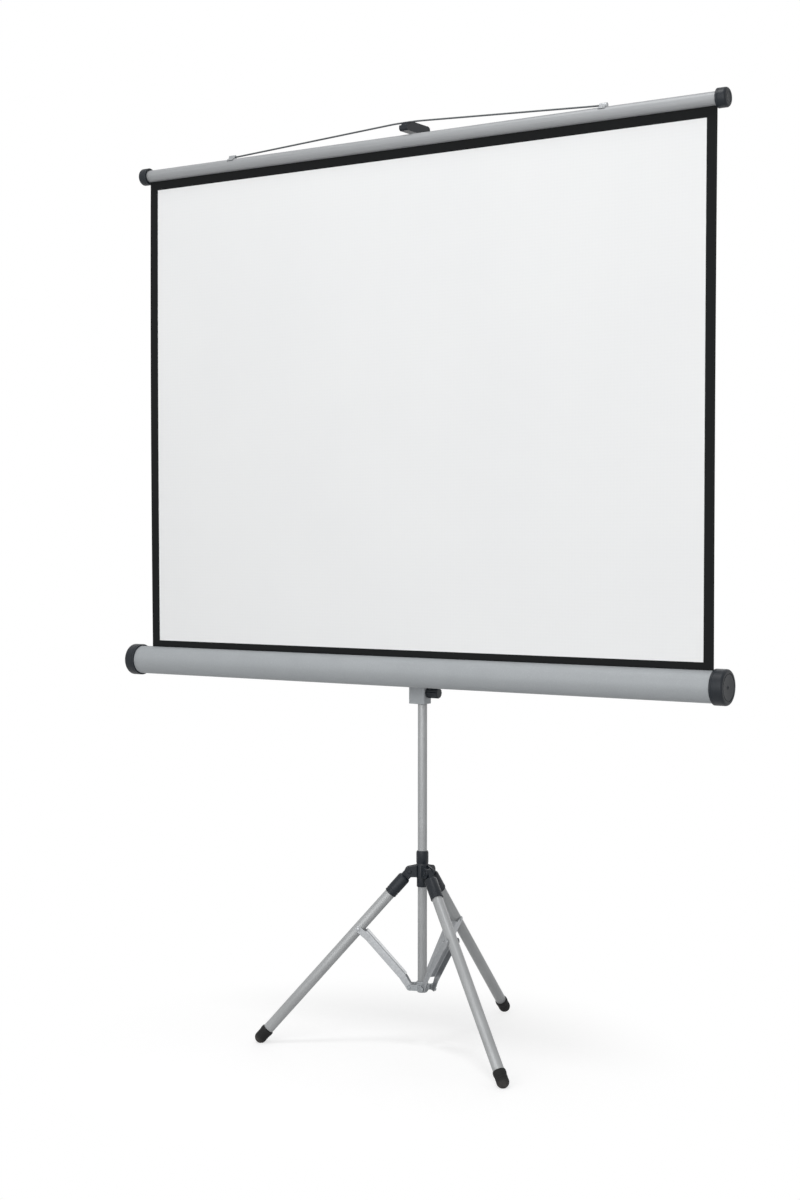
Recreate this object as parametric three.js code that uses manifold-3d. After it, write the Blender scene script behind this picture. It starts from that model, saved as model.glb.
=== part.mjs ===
// Tripod projection screen: a spring roller case on a folding three-leg stand, with a telescopic mast
// that holds the batten of the drawn-out screen by a wire bail. Millimetres, +Z up, the screen faces -Y.
// The origin is on the floor, in the middle of the outline seen from above.

import * as THREE from 'three';
import { mergeVertices } from 'three/addons/utils/BufferGeometryUtils.js';
import Module from 'manifold-3d';

const wasm = await Module();
wasm.setup();

const GAP = 0.3;
const BIG = 4000;
const ROUND = 24;
const SMALL_ROUND = 12;

// The mast axis, measured from the origin, and the case, which sits a little left of the mast
const MAST_X = 15;
const MAST_Y = -96.59;
const CASE_X = -15;

// Telescopic mast: three tubes and their clamps
const OUTER_R = 11;
const MIDDLE_R = 9;
const INNER_R = 7;
const WALL = 1.2;
const OUTER_BOTTOM = 134;
const OUTER_TOP = 922;
const OUTER_CLAMP_BOTTOM = 903;
const OUTER_CLAMP_TOP = 945;
const MIDDLE_BOTTOM = 740;
const MIDDLE_TOP = 1536;
const MIDDLE_CLAMP_BOTTOM = 1518;
const MIDDLE_CLAMP_TOP = 1556;
const INNER_BOTTOM = 1330;
const INNER_TOP = 2140;
const CLAMP_R = 16;

// Tripod: each leg and its brace are two equal arms between the collar and the hub
const LEG_ANGLE = THREE.MathUtils.degToRad(41.5);
const LEG_AZIMUTHS = { left: 210, right: 330, rear: 90 };
const PIVOT_R = 30;
const COLLAR_Z = 416;
const HUB_Z = 141;
const ARM = (COLLAR_Z - HUB_Z) / 2 / Math.cos(LEG_ANGLE);
const LEG_REACH = COLLAR_Z / Math.cos(LEG_ANGLE);
const LEG_R = 13;
const LEG_TUBE_END = LEG_REACH - 21;
const FOOT_R = 14.5;
const FOOT_CENTRE_Z = 13.2;
const FOOT_CENTRE = (COLLAR_Z - FOOT_CENTRE_Z) / Math.cos(LEG_ANGLE);
const FOOT_SLEEVE = 27;
const HEAD_R = 15.2;
const HEAD_LENGTH = 70;
const PIN_R = 3;
const PIN_HEAD_R = 5;
const PIN_HEAD = 1.8;

// Screen and roller case
const CASE_Y = -71;
const CASE_Z = 894;
const CASE_R = 35;
const CASE_LENGTH = 1646;
const CAP_R = 39;
const CAP_LENGTH = 30;
const SLOT_HALF = 4;
const ROLLER_Y = -57;
const ROLLER_R = 12;
const ROLL_R = 13.7;
const FABRIC_WIDTH = 1548;
const FABRIC_THICKNESS = 0.8;
const FABRIC_Y = -71.4;
const FABRIC_BOTTOM = 900;
const FABRIC_TOP = 2110;

// Batten, wire bail and the arm on the mast head that the bail hangs on
const BATTEN_Z = 2120;
const BATTEN_R = 15;
const BATTEN_LENGTH = 1598;
const BATTEN_CAP_R = 21;
const BATTEN_CAP_LENGTH = 24;
const BAIL_FOOT_X = 500;
const BAIL_PIVOT_Z = 2139;
const BAIL_TOP_Z = 2163;
const BAIL_FLAT_X = 30;
const WIRE_R = 2;
const HOOK_CLEARANCE = 0.8;
const HEAD_ARM_HALF = 11;
const HEAD_ARM_BOTTOM = 2143;
const HEAD_ARM_TOP = 2166;
const HEAD_ARM_FRONT = -84.5;
const HEAD_ARM_BACK = 14;

// Carriage that slides on the mast and carries the case on a pivot
const CARRIAGE_BOTTOM = 815;
const CARRIAGE_TOP = 898;
const CARRIAGE_FRONT = -17;
const SWIVEL_Z = 878;

const ALUMINIUM = new THREE.MeshStandardMaterial({ color: 0xa7aaad, roughness: 0.35, metalness: 0.9 });
const STEEL = new THREE.MeshStandardMaterial({ color: 0x9d9fa1, roughness: 0.4, metalness: 0.9 });
const ENAMEL = new THREE.MeshStandardMaterial({ color: 0xa5a9ac, roughness: 0.45, metalness: 0.4 });
const PLASTIC = new THREE.MeshStandardMaterial({ color: 0x23282a, roughness: 0.5, metalness: 0 });
const RUBBER = new THREE.MeshStandardMaterial({ color: 0x1a1a1a, roughness: 0.85, metalness: 0 });
const FABRIC = new THREE.MeshStandardMaterial({ color: 0xeaeaea, roughness: 0.95, metalness: 0 });

// Closed solids

function toSolid(geometry) {
  const plain = geometry.clone();
  plain.deleteAttribute('normal');
  plain.deleteAttribute('uv');
  const merged = mergeVertices(plain, 1e-4);
  const source = merged.index.array;
  const triangles = [];
  for (let i = 0; i < source.length; i += 3) {
    const [a, b, c] = [source[i], source[i + 1], source[i + 2]];
    if (a !== b && b !== c && c !== a) triangles.push(a, b, c);
  }
  const vertProperties = new Float32Array(merged.attributes.position.array);
  const solidOf = (list) =>
    new wasm.Manifold(new wasm.Mesh({ numProp: 3, vertProperties, triVerts: new Uint32Array(list) }));
  const solid = solidOf(triangles);
  return solid.volume() > 0 ? solid : solidOf(triangles.reverse());
}

function toGeometry(solid) {
  const mesh = solid.getMesh();
  const geometry = new THREE.BufferGeometry();
  geometry.setAttribute('position', new THREE.BufferAttribute(new Float32Array(mesh.vertProperties), 3));
  geometry.setIndex(new THREE.BufferAttribute(new Uint32Array(mesh.triVerts), 1));
  geometry.computeVertexNormals();
  return geometry;
}

function box(x0, x1, y0, y1, z0, z1) {
  const geometry = new THREE.BoxGeometry(x1 - x0, y1 - y0, z1 - z0);
  return toSolid(geometry.translate((x0 + x1) / 2, (y0 + y1) / 2, (z0 + z1) / 2));
}

// A solid of revolution about Z from [radius, z] points
function turned(points, sides = ROUND) {
  const outline = points.map(([r, z]) => new THREE.Vector2(r, z));
  outline.push(outline[0].clone());
  return toSolid(new THREE.LatheGeometry(outline, sides).rotateX(Math.PI / 2));
}

function rod(radius, z0, z1, sides = ROUND) {
  return turned([[0, z0], [radius, z0], [radius, z1], [0, z1]], sides);
}

function tube(outer, inner, z0, z1, sides = ROUND) {
  return turned([[inner, z0], [outer, z0], [outer, z1], [inner, z1]], sides);
}

// Solids are made upright and then laid along X or Y
const alongX = (solid) => solid.rotate([0, 90, 0]);
const alongY = (solid) => solid.rotate([-90, 0, 0]);

// A plate with its outline in X and Z and its thickness along Y
function plateXZ(shape, y0, y1, segments = 6) {
  const geometry = new THREE.ExtrudeGeometry(shape, {
    depth: y1 - y0,
    bevelEnabled: false,
    curveSegments: segments,
  });
  return toSolid(geometry.rotateX(Math.PI / 2).translate(0, y1, 0));
}

// A long profile with its outline in Y and Z, running along X
function profileX(shape, x0, x1, segments) {
  const geometry = new THREE.ExtrudeGeometry(shape, {
    depth: x1 - x0,
    bevelEnabled: false,
    curveSegments: segments,
  });
  const turn = new THREE.Matrix4().set(0, 0, 1, x0, 1, 0, 0, 0, 0, 1, 0, 0, 0, 0, 0, 1);
  return toSolid(geometry.applyMatrix4(turn));
}

// The outline of a round tube with a lengthwise slot of half width slotHalf, centred on the angle facing
function slottedRound(outer, inner, slotHalf, facing) {
  const outerTurn = Math.asin(slotHalf / outer);
  const innerTurn = Math.asin(slotHalf / inner);
  const shape = new THREE.Shape();
  shape.absarc(0, 0, outer, facing + outerTurn, facing + 2 * Math.PI - outerTurn, false);
  shape.absarc(0, 0, inner, facing - innerTurn, facing - 2 * Math.PI + innerTurn, true);
  shape.closePath();
  return shape;
}

// A headed pin along Y
function pinAlongY(radius, half, headRadius, headThickness) {
  const points = [
    [0, -half - headThickness],
    [headRadius, -half - headThickness],
    [headRadius, -half],
    [radius, -half],
    [radius, half],
    [headRadius, half],
    [headRadius, half + headThickness],
    [0, half + headThickness],
  ];
  return alongY(turned(points, SMALL_ROUND));
}

// A clamp knob along Z: a thin stud and a lobed grip
function knob(studLength, gripRadius, gripLength, lobes) {
  const lobeR = gripRadius * 0.38;
  const ring = gripRadius - lobeR;
  let grip = rod(ring, 0, gripLength, SMALL_ROUND);
  for (let i = 0; i < lobes; i += 1) {
    const angle = (i * 2 * Math.PI) / lobes;
    const lobe = rod(lobeR, 0, gripLength, 8);
    grip = grip.add(lobe.translate([ring * Math.cos(angle), ring * Math.sin(angle), 0]));
  }
  return grip.add(rod(PIN_R, -studLength, 1, 8));
}

function piece(name, solid, material, parent) {
  const mesh = new THREE.Mesh(toGeometry(solid), material);
  mesh.name = name;
  parent.add(mesh);
  return mesh;
}

function frame(parent, x, y, z) {
  const group = new THREE.Group();
  group.position.set(x, y, z);
  parent.add(group);
  return group;
}

// Telescopic mast

function addMast(stand) {
  piece('mast_outer_tube', tube(OUTER_R, OUTER_R - WALL, OUTER_BOTTOM + GAP, OUTER_TOP), STEEL, stand);
  piece('mast_middle_tube', tube(MIDDLE_R, MIDDLE_R - WALL, MIDDLE_BOTTOM, MIDDLE_TOP), STEEL, stand);
  piece('mast_inner_tube', tube(INNER_R, INNER_R - WALL, INNER_BOTTOM, INNER_TOP), STEEL, stand);
  addClamp('outer', OUTER_R, MIDDLE_R, OUTER_CLAMP_BOTTOM, OUTER_TOP, OUTER_CLAMP_TOP, stand);
  addClamp('middle', MIDDLE_R, INNER_R, MIDDLE_CLAMP_BOTTOM, MIDDLE_TOP, MIDDLE_CLAMP_TOP, stand);
}

// A plastic clamp on the end of one mast tube, with a knob at the back that grips the next tube
function addClamp(which, tubeR, nextR, bottom, shoulder, top, stand) {
  const bossBack = 24;
  const bossR = 8;
  const bossZ = (shoulder + top) / 2;
  const chamfer = 2;
  const lowerBore = tubeR + GAP;
  const upperBore = nextR + GAP;
  const ring = [
    [lowerBore, bottom],
    [CLAMP_R - chamfer, bottom],
    [CLAMP_R, bottom + chamfer],
    [CLAMP_R, top - chamfer],
    [CLAMP_R - chamfer, top],
    [upperBore, top],
    [upperBore, shoulder + GAP],
    [lowerBore, shoulder + GAP],
  ];
  const boss = alongY(rod(bossR, nextR + 3, bossBack, SMALL_ROUND)).translate([0, 0, bossZ]);
  const hole = alongY(rod(PIN_R + GAP, 0, bossBack + 1, SMALL_ROUND)).translate([0, 0, bossZ]);
  piece(`${which}_clamp`, turned(ring).add(boss).subtract(hole), PLASTIC, stand);
  const grip = alongY(knob(bossBack - nextR - 1, 12, 15, 6));
  piece(`${which}_clamp_knob`, grip, PLASTIC, frame(stand, 0, bossBack + GAP, bossZ));
}

// The black head of the mast with its forward arm, notched for the bail
function addMastHead(stand) {
  const capR = 12;
  const capBottom = 2129;
  const notchBottom = BAIL_TOP_Z - WIRE_R - HOOK_CLEARANCE;
  const notchHalf = WIRE_R + HOOK_CLEARANCE;
  const lip = 1.2;
  const lipFront = CASE_Y - notchHalf - lip;
  const tipTop = notchBottom - 2;
  const backRound = 8;
  const shape = new THREE.Shape();
  shape.moveTo(HEAD_ARM_FRONT + 4, HEAD_ARM_BOTTOM);
  shape.lineTo(HEAD_ARM_BACK, HEAD_ARM_BOTTOM);
  shape.lineTo(HEAD_ARM_BACK, HEAD_ARM_TOP - backRound);
  shape.absarc(HEAD_ARM_BACK - backRound, HEAD_ARM_TOP - backRound, backRound, 0, Math.PI / 2, false);
  shape.lineTo(CASE_Y + notchHalf, HEAD_ARM_TOP);
  shape.lineTo(CASE_Y + notchHalf, notchBottom + notchHalf);
  shape.absarc(CASE_Y, notchBottom + notchHalf, notchHalf, 0, -Math.PI, true);
  shape.lineTo(lipFront, notchBottom + notchHalf);
  shape.lineTo(lipFront, tipTop);
  shape.lineTo(HEAD_ARM_FRONT, tipTop - 3);
  shape.lineTo(HEAD_ARM_FRONT, HEAD_ARM_BOTTOM + 4);
  shape.closePath();
  const arm = profileX(shape, -HEAD_ARM_HALF, HEAD_ARM_HALF, 8);
  const cap = rod(capR, capBottom, HEAD_ARM_BOTTOM + 1);
  const bore = rod(INNER_R + GAP, capBottom - 1, INNER_TOP + GAP);
  piece('mast_head', arm.add(cap).subtract(bore), PLASTIC, stand);
}

// Tripod

// The hub at the foot of the mast: three pairs of ears with short pivot studs for the braces, and three
// bridges that tie each two neighbouring ears to the core
function addHub(stand) {
  const coreR = 14;
  const bottom = 128;
  const top = 154;
  const earInner = 15.5;
  const earOuter = 19;
  const earR = 6;
  const studEnd = 13.9;
  const studR = 2.7;
  let hub = turned([[0, bottom], [coreR - 3, bottom], [coreR, bottom + 4], [coreR, top], [0, top]]);
  const ear = new THREE.Shape();
  ear.moveTo(2, -7);
  ear.lineTo(PIVOT_R, -earR);
  ear.absarc(PIVOT_R, 0, earR, -Math.PI / 2, Math.PI / 2, false);
  ear.lineTo(2, 7);
  ear.closePath();
  const bridge = box(10, 18.5, -7, 7, -earR, earR);
  for (const azimuth of Object.values(LEG_AZIMUTHS)) {
    hub = hub.add(bridge.translate([0, 0, HUB_Z]).rotate([0, 0, azimuth + 60]));
    for (const side of [-1, 1]) {
      const [y0, y1] = side > 0 ? [earInner, earOuter] : [-earOuter, -earInner];
      const [s0, s1] = side > 0 ? [studEnd, earInner + 1] : [-earInner - 1, -studEnd];
      const stud = alongY(rod(studR, s0, s1, SMALL_ROUND)).translate([PIVOT_R, 0, 0]);
      const pair = plateXZ(ear, y0, y1).add(stud);
      hub = hub.add(pair.translate([0, 0, HUB_Z]).rotate([0, 0, azimuth]));
    }
  }
  const bore = rod(OUTER_R + GAP, OUTER_BOTTOM, top + 1);
  piece('bottom_hub', hub.subtract(bore), ENAMEL, stand);
}

// The sliding collar: a sleeve with three forked lugs for the leg heads and a boss for its knob
function addCollar(stand) {
  const bore = OUTER_R + 0.4;
  const sleeveR = 14.5;
  const skirtR = 13.4;
  const bottom = 380;
  const shoulder = COLLAR_Z - 14;
  const top = 466;
  const knobAzimuth = 123;
  const knobZ = 450;
  const bossR = 8;
  const bossEnd = 22;
  const sleeve = [
    [bore, bottom],
    [skirtR, bottom],
    [skirtR, shoulder],
    [sleeveR, shoulder],
    [sleeveR, top - 2],
    [sleeveR - 2, top],
    [bore, top],
  ];
  const lugR = 12.5;
  const cheekInner = 6.3;
  const cheekOuter = 10.3;
  const lug = new THREE.Shape();
  lug.moveTo(bore + 1.2, -lugR);
  lug.lineTo(PIVOT_R, -lugR);
  lug.absarc(PIVOT_R, 0, lugR, -Math.PI / 2, Math.PI / 2, false);
  lug.lineTo(bore + 1.2, lugR + 4);
  lug.closePath();
  let collar = turned(sleeve);
  for (const azimuth of Object.values(LEG_AZIMUTHS)) {
    const root = box(bore + 1.2, PIVOT_R - 11.6, -cheekOuter, cheekOuter, -lugR, lugR);
    const hole = alongY(rod(PIN_R + GAP, -BIG, BIG, SMALL_ROUND)).translate([PIVOT_R, 0, 0]);
    const fork = plateXZ(lug, -cheekOuter, -cheekInner).add(plateXZ(lug, cheekInner, cheekOuter));
    const whole = fork.add(root).subtract(hole);
    collar = collar.add(whole.translate([0, 0, COLLAR_Z]).rotate([0, 0, azimuth]));
  }
  const boss = alongX(rod(bossR, bore + 1.2, bossEnd, SMALL_ROUND));
  const hole = alongX(rod(PIN_R + GAP, 0, bossEnd + 1, SMALL_ROUND));
  collar = collar.add(boss.translate([0, 0, knobZ]).rotate([0, 0, knobAzimuth]));
  collar = collar.subtract(hole.translate([0, 0, knobZ]).rotate([0, 0, knobAzimuth]));
  piece('leg_collar', collar.subtract(rod(bore, 0, top + 1)), PLASTIC, stand);
  const side = frame(stand, 0, 0, knobZ);
  side.rotation.z = THREE.MathUtils.degToRad(knobAzimuth);
  const grip = alongX(knob(bossEnd - bore - 1, 11, 14, 5));
  piece('collar_knob', grip, PLASTIC, frame(side, bossEnd + GAP, 0, 0));
}

// One leg, in a frame whose +X points outward from the mast
function addLeg(which, azimuth, stand) {
  const collarPinHalf = 10.6;
  const rivetHalf = 15.4;
  const tubeTop = -26;
  const outward = frame(stand, 0, 0, 0);
  outward.rotation.z = THREE.MathUtils.degToRad(azimuth);
  const hip = frame(outward, PIVOT_R, 0, COLLAR_Z);
  const leg = frame(hip, 0, 0, 0);
  leg.rotation.y = -LEG_ANGLE;
  piece(`collar_pin_${which}`, pinAlongY(PIN_R, collarPinHalf, PIN_HEAD_R, PIN_HEAD), STEEL, hip);
  addLegHead(which, leg);
  const crossHole = alongY(rod(PIN_R + GAP, -BIG, BIG, SMALL_ROUND)).translate([0, 0, -ARM]);
  const shaft = tube(LEG_R, LEG_R - WALL, -LEG_TUBE_END, tubeTop, 20);
  piece(`leg_tube_${which}`, shaft.subtract(crossHole), STEEL, leg);
  const rivet = pinAlongY(PIN_R - 0.1, rivetHalf, PIN_HEAD_R, PIN_HEAD);
  piece(`brace_rivet_${which}`, rivet.translate([0, 0, -ARM]), STEEL, leg);
  addFoot(which, outward);
  addBrace(which, outward);
}

// The black leg head: a tongue between the collar's cheeks and a socket for the tube
function addLegHead(which, leg) {
  const tongueHalf = 6;
  const tongueR = 11;
  const socketTop = -16;
  const tongue = alongY(rod(tongueR, -tongueHalf, tongueHalf, 24));
  const neck = box(-tongueR, tongueR, -tongueHalf, tongueHalf, socketTop - 6, 0);
  const socket = turned([[0, -HEAD_LENGTH], [HEAD_R, -HEAD_LENGTH], [HEAD_R, socketTop - 4],
    [HEAD_R - 4, socketTop], [0, socketTop]], 20);
  const bore = rod(LEG_R + GAP, -HEAD_LENGTH - 1, -25, 20);
  const hole = alongY(rod(PIN_R + GAP, -BIG, BIG, SMALL_ROUND));
  const head = tongue.add(neck).add(socket).subtract(bore).subtract(hole);
  piece(`leg_head_${which}`, head, PLASTIC, leg);
}

// The rubber foot: a sleeve on the tube's end with a ball tip, cut level where it stands on the floor
function addFoot(which, outward) {
  const top = FOOT_SLEEVE - FOOT_CENTRE;
  const ribR = FOOT_R + 0.8;
  const steps = 5;
  const outline = [];
  for (let i = 0; i <= steps; i += 1) {
    const angle = (i / steps) * (Math.PI / 2);
    outline.push([FOOT_R * Math.sin(angle), -FOOT_CENTRE - FOOT_R * Math.cos(angle)]);
  }
  outline.push([FOOT_R, top - 11], [ribR, top - 9], [ribR, top - 3], [FOOT_R - 0.4, top], [0, top]);
  const bore = rod(LEG_R + GAP, -LEG_TUBE_END - GAP, top + 1, 20);
  const sleeve = turned(outline, 20).subtract(bore);
  const angle = -THREE.MathUtils.radToDeg(LEG_ANGLE);
  const standing = sleeve.rotate([0, angle, 0]).translate([PIVOT_R, 0, COLLAR_Z]);
  piece(`foot_${which}`, standing.subtract(box(-BIG, BIG, -BIG, BIG, -BIG, 0)), RUBBER, outward);
}

// The brace: a pressed channel, open away from the mast, that takes the folded leg between its flanges
function addBrace(which, outward) {
  const flangeInner = 13.6;
  const flangeOuter = 15.1;
  const endR = 7;
  const edge = 3;
  const run = 32;
  const webStart = 28;
  const webEnd = ARM - 16;
  const shape = new THREE.Shape();
  shape.moveTo(endR, 0);
  shape.lineTo(edge, run);
  shape.lineTo(edge, ARM - run);
  shape.lineTo(endR, ARM);
  shape.absarc(0, ARM, endR, 0, Math.PI, false);
  shape.lineTo(-flangeOuter, webEnd);
  shape.lineTo(-flangeOuter, webStart);
  shape.lineTo(-endR, 0);
  shape.absarc(0, 0, endR, Math.PI, 2 * Math.PI, false);
  const flanges = plateXZ(shape, -flangeOuter, -flangeInner).add(plateXZ(shape, flangeInner, flangeOuter));
  const web = box(-flangeOuter, -flangeInner, -flangeOuter, flangeOuter, webStart, webEnd);
  const hole = alongY(rod(PIN_R + GAP, -BIG, BIG, SMALL_ROUND));
  const channel = flanges.add(web).subtract(hole).subtract(hole.translate([0, 0, ARM]));
  const brace = frame(outward, PIVOT_R, 0, HUB_Z);
  brace.rotation.y = LEG_ANGLE;
  piece(`brace_${which}`, channel, STEEL, brace);
}

// Carriage

function addCarriage(stand) {
  const linerBore = OUTER_R + 0.4;
  const linerR = 12.8;
  const left = -29;
  const right = 15;
  const back = 17;
  const corner = 5;
  const knobZ = 842;
  const knobLength = 32;
  const shape = new THREE.Shape();
  shape.moveTo(left + corner, CARRIAGE_FRONT);
  shape.lineTo(right - corner, CARRIAGE_FRONT);
  shape.absarc(right - corner, CARRIAGE_FRONT + corner, corner, -Math.PI / 2, 0, false);
  shape.lineTo(right, back - corner);
  shape.absarc(right - corner, back - corner, corner, 0, Math.PI / 2, false);
  shape.lineTo(left + corner, back);
  shape.absarc(left + corner, back - corner, corner, Math.PI / 2, Math.PI, false);
  shape.lineTo(left, CARRIAGE_FRONT + corner);
  shape.absarc(left + corner, CARRIAGE_FRONT + corner, corner, Math.PI, Math.PI * 1.5, false);
  const depth = CARRIAGE_TOP - CARRIAGE_BOTTOM;
  const blank = new THREE.ExtrudeGeometry(shape, { depth, bevelEnabled: false, curveSegments: 5 });
  const block = toSolid(blank.translate(0, 0, CARRIAGE_BOTTOM));
  const bore = rod(linerR + GAP, 0, BIG);
  const hole = alongX(rod(PIN_R + GAP, 0, BIG, SMALL_ROUND)).translate([0, 0, knobZ]);
  piece('carriage_bracket', block.subtract(bore).subtract(hole), ENAMEL, stand);
  const liner = tube(linerR, linerBore, CARRIAGE_BOTTOM, CARRIAGE_TOP);
  piece('carriage_liner', liner.subtract(hole), PLASTIC, stand);
  const grip = alongX(knob(right - linerBore - 0.8, 13, knobLength, 8));
  piece('carriage_knob', grip, PLASTIC, frame(stand, right + GAP, 0, knobZ));
}

// The pivot between carriage and case: a steel plate with its stud, a washer and the saddle on the case
function addSwivel(stand) {
  const plateR = 19;
  const studR = 5;
  const plateFace = CARRIAGE_FRONT - 5;
  const washerFace = plateFace - 5;
  const studEnd = -33;
  const plate = alongY(rod(plateR, plateFace, CARRIAGE_FRONT - GAP));
  const stud = alongY(rod(studR, studEnd, plateFace + 1, 20));
  piece('swivel_plate', plate.add(stud).translate([0, 0, SWIVEL_Z]), STEEL, stand);
  const washer = alongY(tube(plateR - 3, studR + GAP, washerFace, plateFace - GAP));
  piece('swivel_washer', washer.translate([0, 0, SWIVEL_Z]), PLASTIC, stand);
  const saddleHalf = 62;
  const saddleR = CASE_R + 4;
  const reach = Math.PI / 3.2;
  const shape = new THREE.Shape();
  shape.absarc(0, 0, saddleR, -reach, reach, false);
  shape.absarc(0, 0, CASE_R - 5, reach, -reach, true);
  shape.closePath();
  const band = profileX(shape, -saddleHalf, saddleHalf, 20).translate([0, CASE_Y, CASE_Z]);
  const boss = alongY(rod(plateR - 3, CASE_Y + CASE_R - 6, washerFace - GAP)).translate([0, 0, SWIVEL_Z]);
  const tubeSpace = alongX(rod(CASE_R + GAP, -BIG, BIG, 72)).translate([0, CASE_Y, CASE_Z]);
  const hole = alongY(rod(studR + GAP, studEnd - GAP, 0, 20)).translate([0, 0, SWIVEL_Z]);
  piece('case_saddle', band.add(boss).subtract(tubeSpace).subtract(hole), ENAMEL, stand);
}

// Roller case

function addCase(stand) {
  const half = CASE_LENGTH / 2;
  const tubeHalf = half - 13;
  const caseWall = 1.5;
  const bracketR = CASE_R - caseWall - GAP;
  const bracketIn = half - 28;
  const bracketOut = half - 24;
  const axis = frame(stand, CASE_X, CASE_Y, CASE_Z);
  const section = slottedRound(CASE_R, CASE_R - caseWall, SLOT_HALF, Math.PI / 2);
  piece('case_tube', profileX(section, -tubeHalf, tubeHalf, 48), ENAMEL, axis);
  for (const [which, side] of [['left', -1], ['right', 1]]) {
    const cap = endCap(CAP_R, CASE_R + GAP, half, CAP_LENGTH, half - 12);
    piece(`case_cap_${which}`, side > 0 ? alongX(cap) : alongX(cap).rotate([0, 0, 180]), PLASTIC, axis);
    const disc = alongX(rod(bracketR, bracketIn, bracketOut));
    const hole = alongX(rod(4 + GAP, 0, BIG, SMALL_ROUND)).translate([0, ROLLER_Y - CASE_Y, 0]);
    const slot = box(0, BIG, -SLOT_HALF - 3, SLOT_HALF + 3, CASE_R - 8, BIG);
    const bracket = disc.subtract(hole).subtract(slot);
    piece(`roller_bracket_${which}`, side > 0 ? bracket : bracket.mirror([1, 0, 0]), STEEL, axis);
  }
  const halfCloth = FABRIC_THICKNESS / 2;
  const cloth = box(-FABRIC_WIDTH / 2, FABRIC_WIDTH / 2, FABRIC_Y - halfCloth, FABRIC_Y + halfCloth,
    FABRIC_BOTTOM, FABRIC_TOP);
  piece('screen_fabric', cloth, FABRIC, stand);
}

// A cup-shaped end cap along Z: rim at the open end, rounded edge at the closed one
function endCap(outer, bore, end, length, floor) {
  const edge = 6;
  const steps = 3;
  const points = [[0, floor], [bore, floor], [bore, end - length], [outer, end - length]];
  for (let i = 0; i <= steps; i += 1) {
    const angle = (i / steps) * (Math.PI / 2);
    points.push([outer - edge + edge * Math.cos(angle), end - edge + edge * Math.sin(angle)]);
  }
  points.push([0, end]);
  return turned(points);
}

function addRoller(stand) {
  const half = FABRIC_WIDTH / 2;
  const axis = frame(stand, 0, ROLLER_Y, CASE_Z);
  const plugOut = 3;
  const pinReach = CASE_LENGTH / 2 - 20;
  piece('roller_tube', alongX(tube(ROLLER_R, ROLLER_R - WALL, -half, half, 24)), ALUMINIUM, axis);
  piece('fabric_roll', alongX(tube(ROLL_R, ROLLER_R + GAP, -half + 1, half - 1, 24)), FABRIC, axis);
  for (const [which, side] of [['left', -1], ['right', 1]]) {
    const end = pinReach + side * CASE_X;
    const points = [
      [0, half - 30],
      [ROLLER_R - WALL - GAP, half - 30],
      [ROLLER_R - WALL - GAP, half + GAP],
      [ROLLER_R, half + GAP],
      [ROLLER_R, half + plugOut],
      [4, half + plugOut],
      [4, end],
      [0, end],
    ];
    const plug = alongX(turned(points, 20));
    piece(`roller_plug_${which}`, side > 0 ? plug : plug.rotate([0, 0, 180]), PLASTIC, axis);
  }
}

// Batten and bail

function addBatten(stand) {
  const half = BATTEN_LENGTH / 2;
  const tubeHalf = half - 11;
  const axis = frame(stand, 0, CASE_Y, BATTEN_Z);
  const section = slottedRound(BATTEN_R, BATTEN_R - WALL, 2, -Math.PI / 2);
  piece('batten_tube', profileX(section, -tubeHalf, tubeHalf, 20), ALUMINIUM, axis);
  const rodR = 4;
  piece('hem_rod', alongX(rod(rodR, -half + 40, half - 40, SMALL_ROUND)), STEEL, axis);
  for (const [which, side] of [['left', -1], ['right', 1]]) {
    const cap = endCap(BATTEN_CAP_R, BATTEN_R + GAP, half, BATTEN_CAP_LENGTH, half - 10);
    piece(`batten_cap_${which}`, side > 0 ? alongX(cap) : alongX(cap).rotate([0, 0, 180]), PLASTIC, axis);
    addBailSocket(which, side, axis);
  }
}

// A block on top of the batten with a bore along X for one end of the bail
function addBailSocket(which, side, axis) {
  const length = 18;
  const halfWidth = 5;
  const height = BAIL_PIVOT_Z - BATTEN_Z;
  const wrap = 2.5;
  const inner = BAIL_FOOT_X;
  const shape = new THREE.Shape();
  shape.moveTo(-halfWidth, 8);
  shape.lineTo(halfWidth, 8);
  shape.lineTo(halfWidth, height);
  shape.absarc(0, height, halfWidth, 0, Math.PI, false);
  shape.closePath();
  const block = profileX(shape, inner, inner + length, 8);
  const footing = new THREE.Shape();
  footing.absarc(0, 0, BATTEN_R + GAP + wrap, Math.PI / 5, (4 * Math.PI) / 5, false);
  footing.closePath();
  const strap = profileX(footing, inner, inner + length, 10);
  const space = alongX(rod(BATTEN_R + GAP, 0, BIG, 56));
  const bore = alongX(rod(WIRE_R + 0.5, 0, inner + length - 3, 12)).translate([0, 0, height]);
  const socket = block.add(strap).subtract(space).subtract(bore);
  piece(`bail_socket_${which}`, side > 0 ? socket : socket.mirror([1, 0, 0]), STEEL, axis);
}

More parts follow.
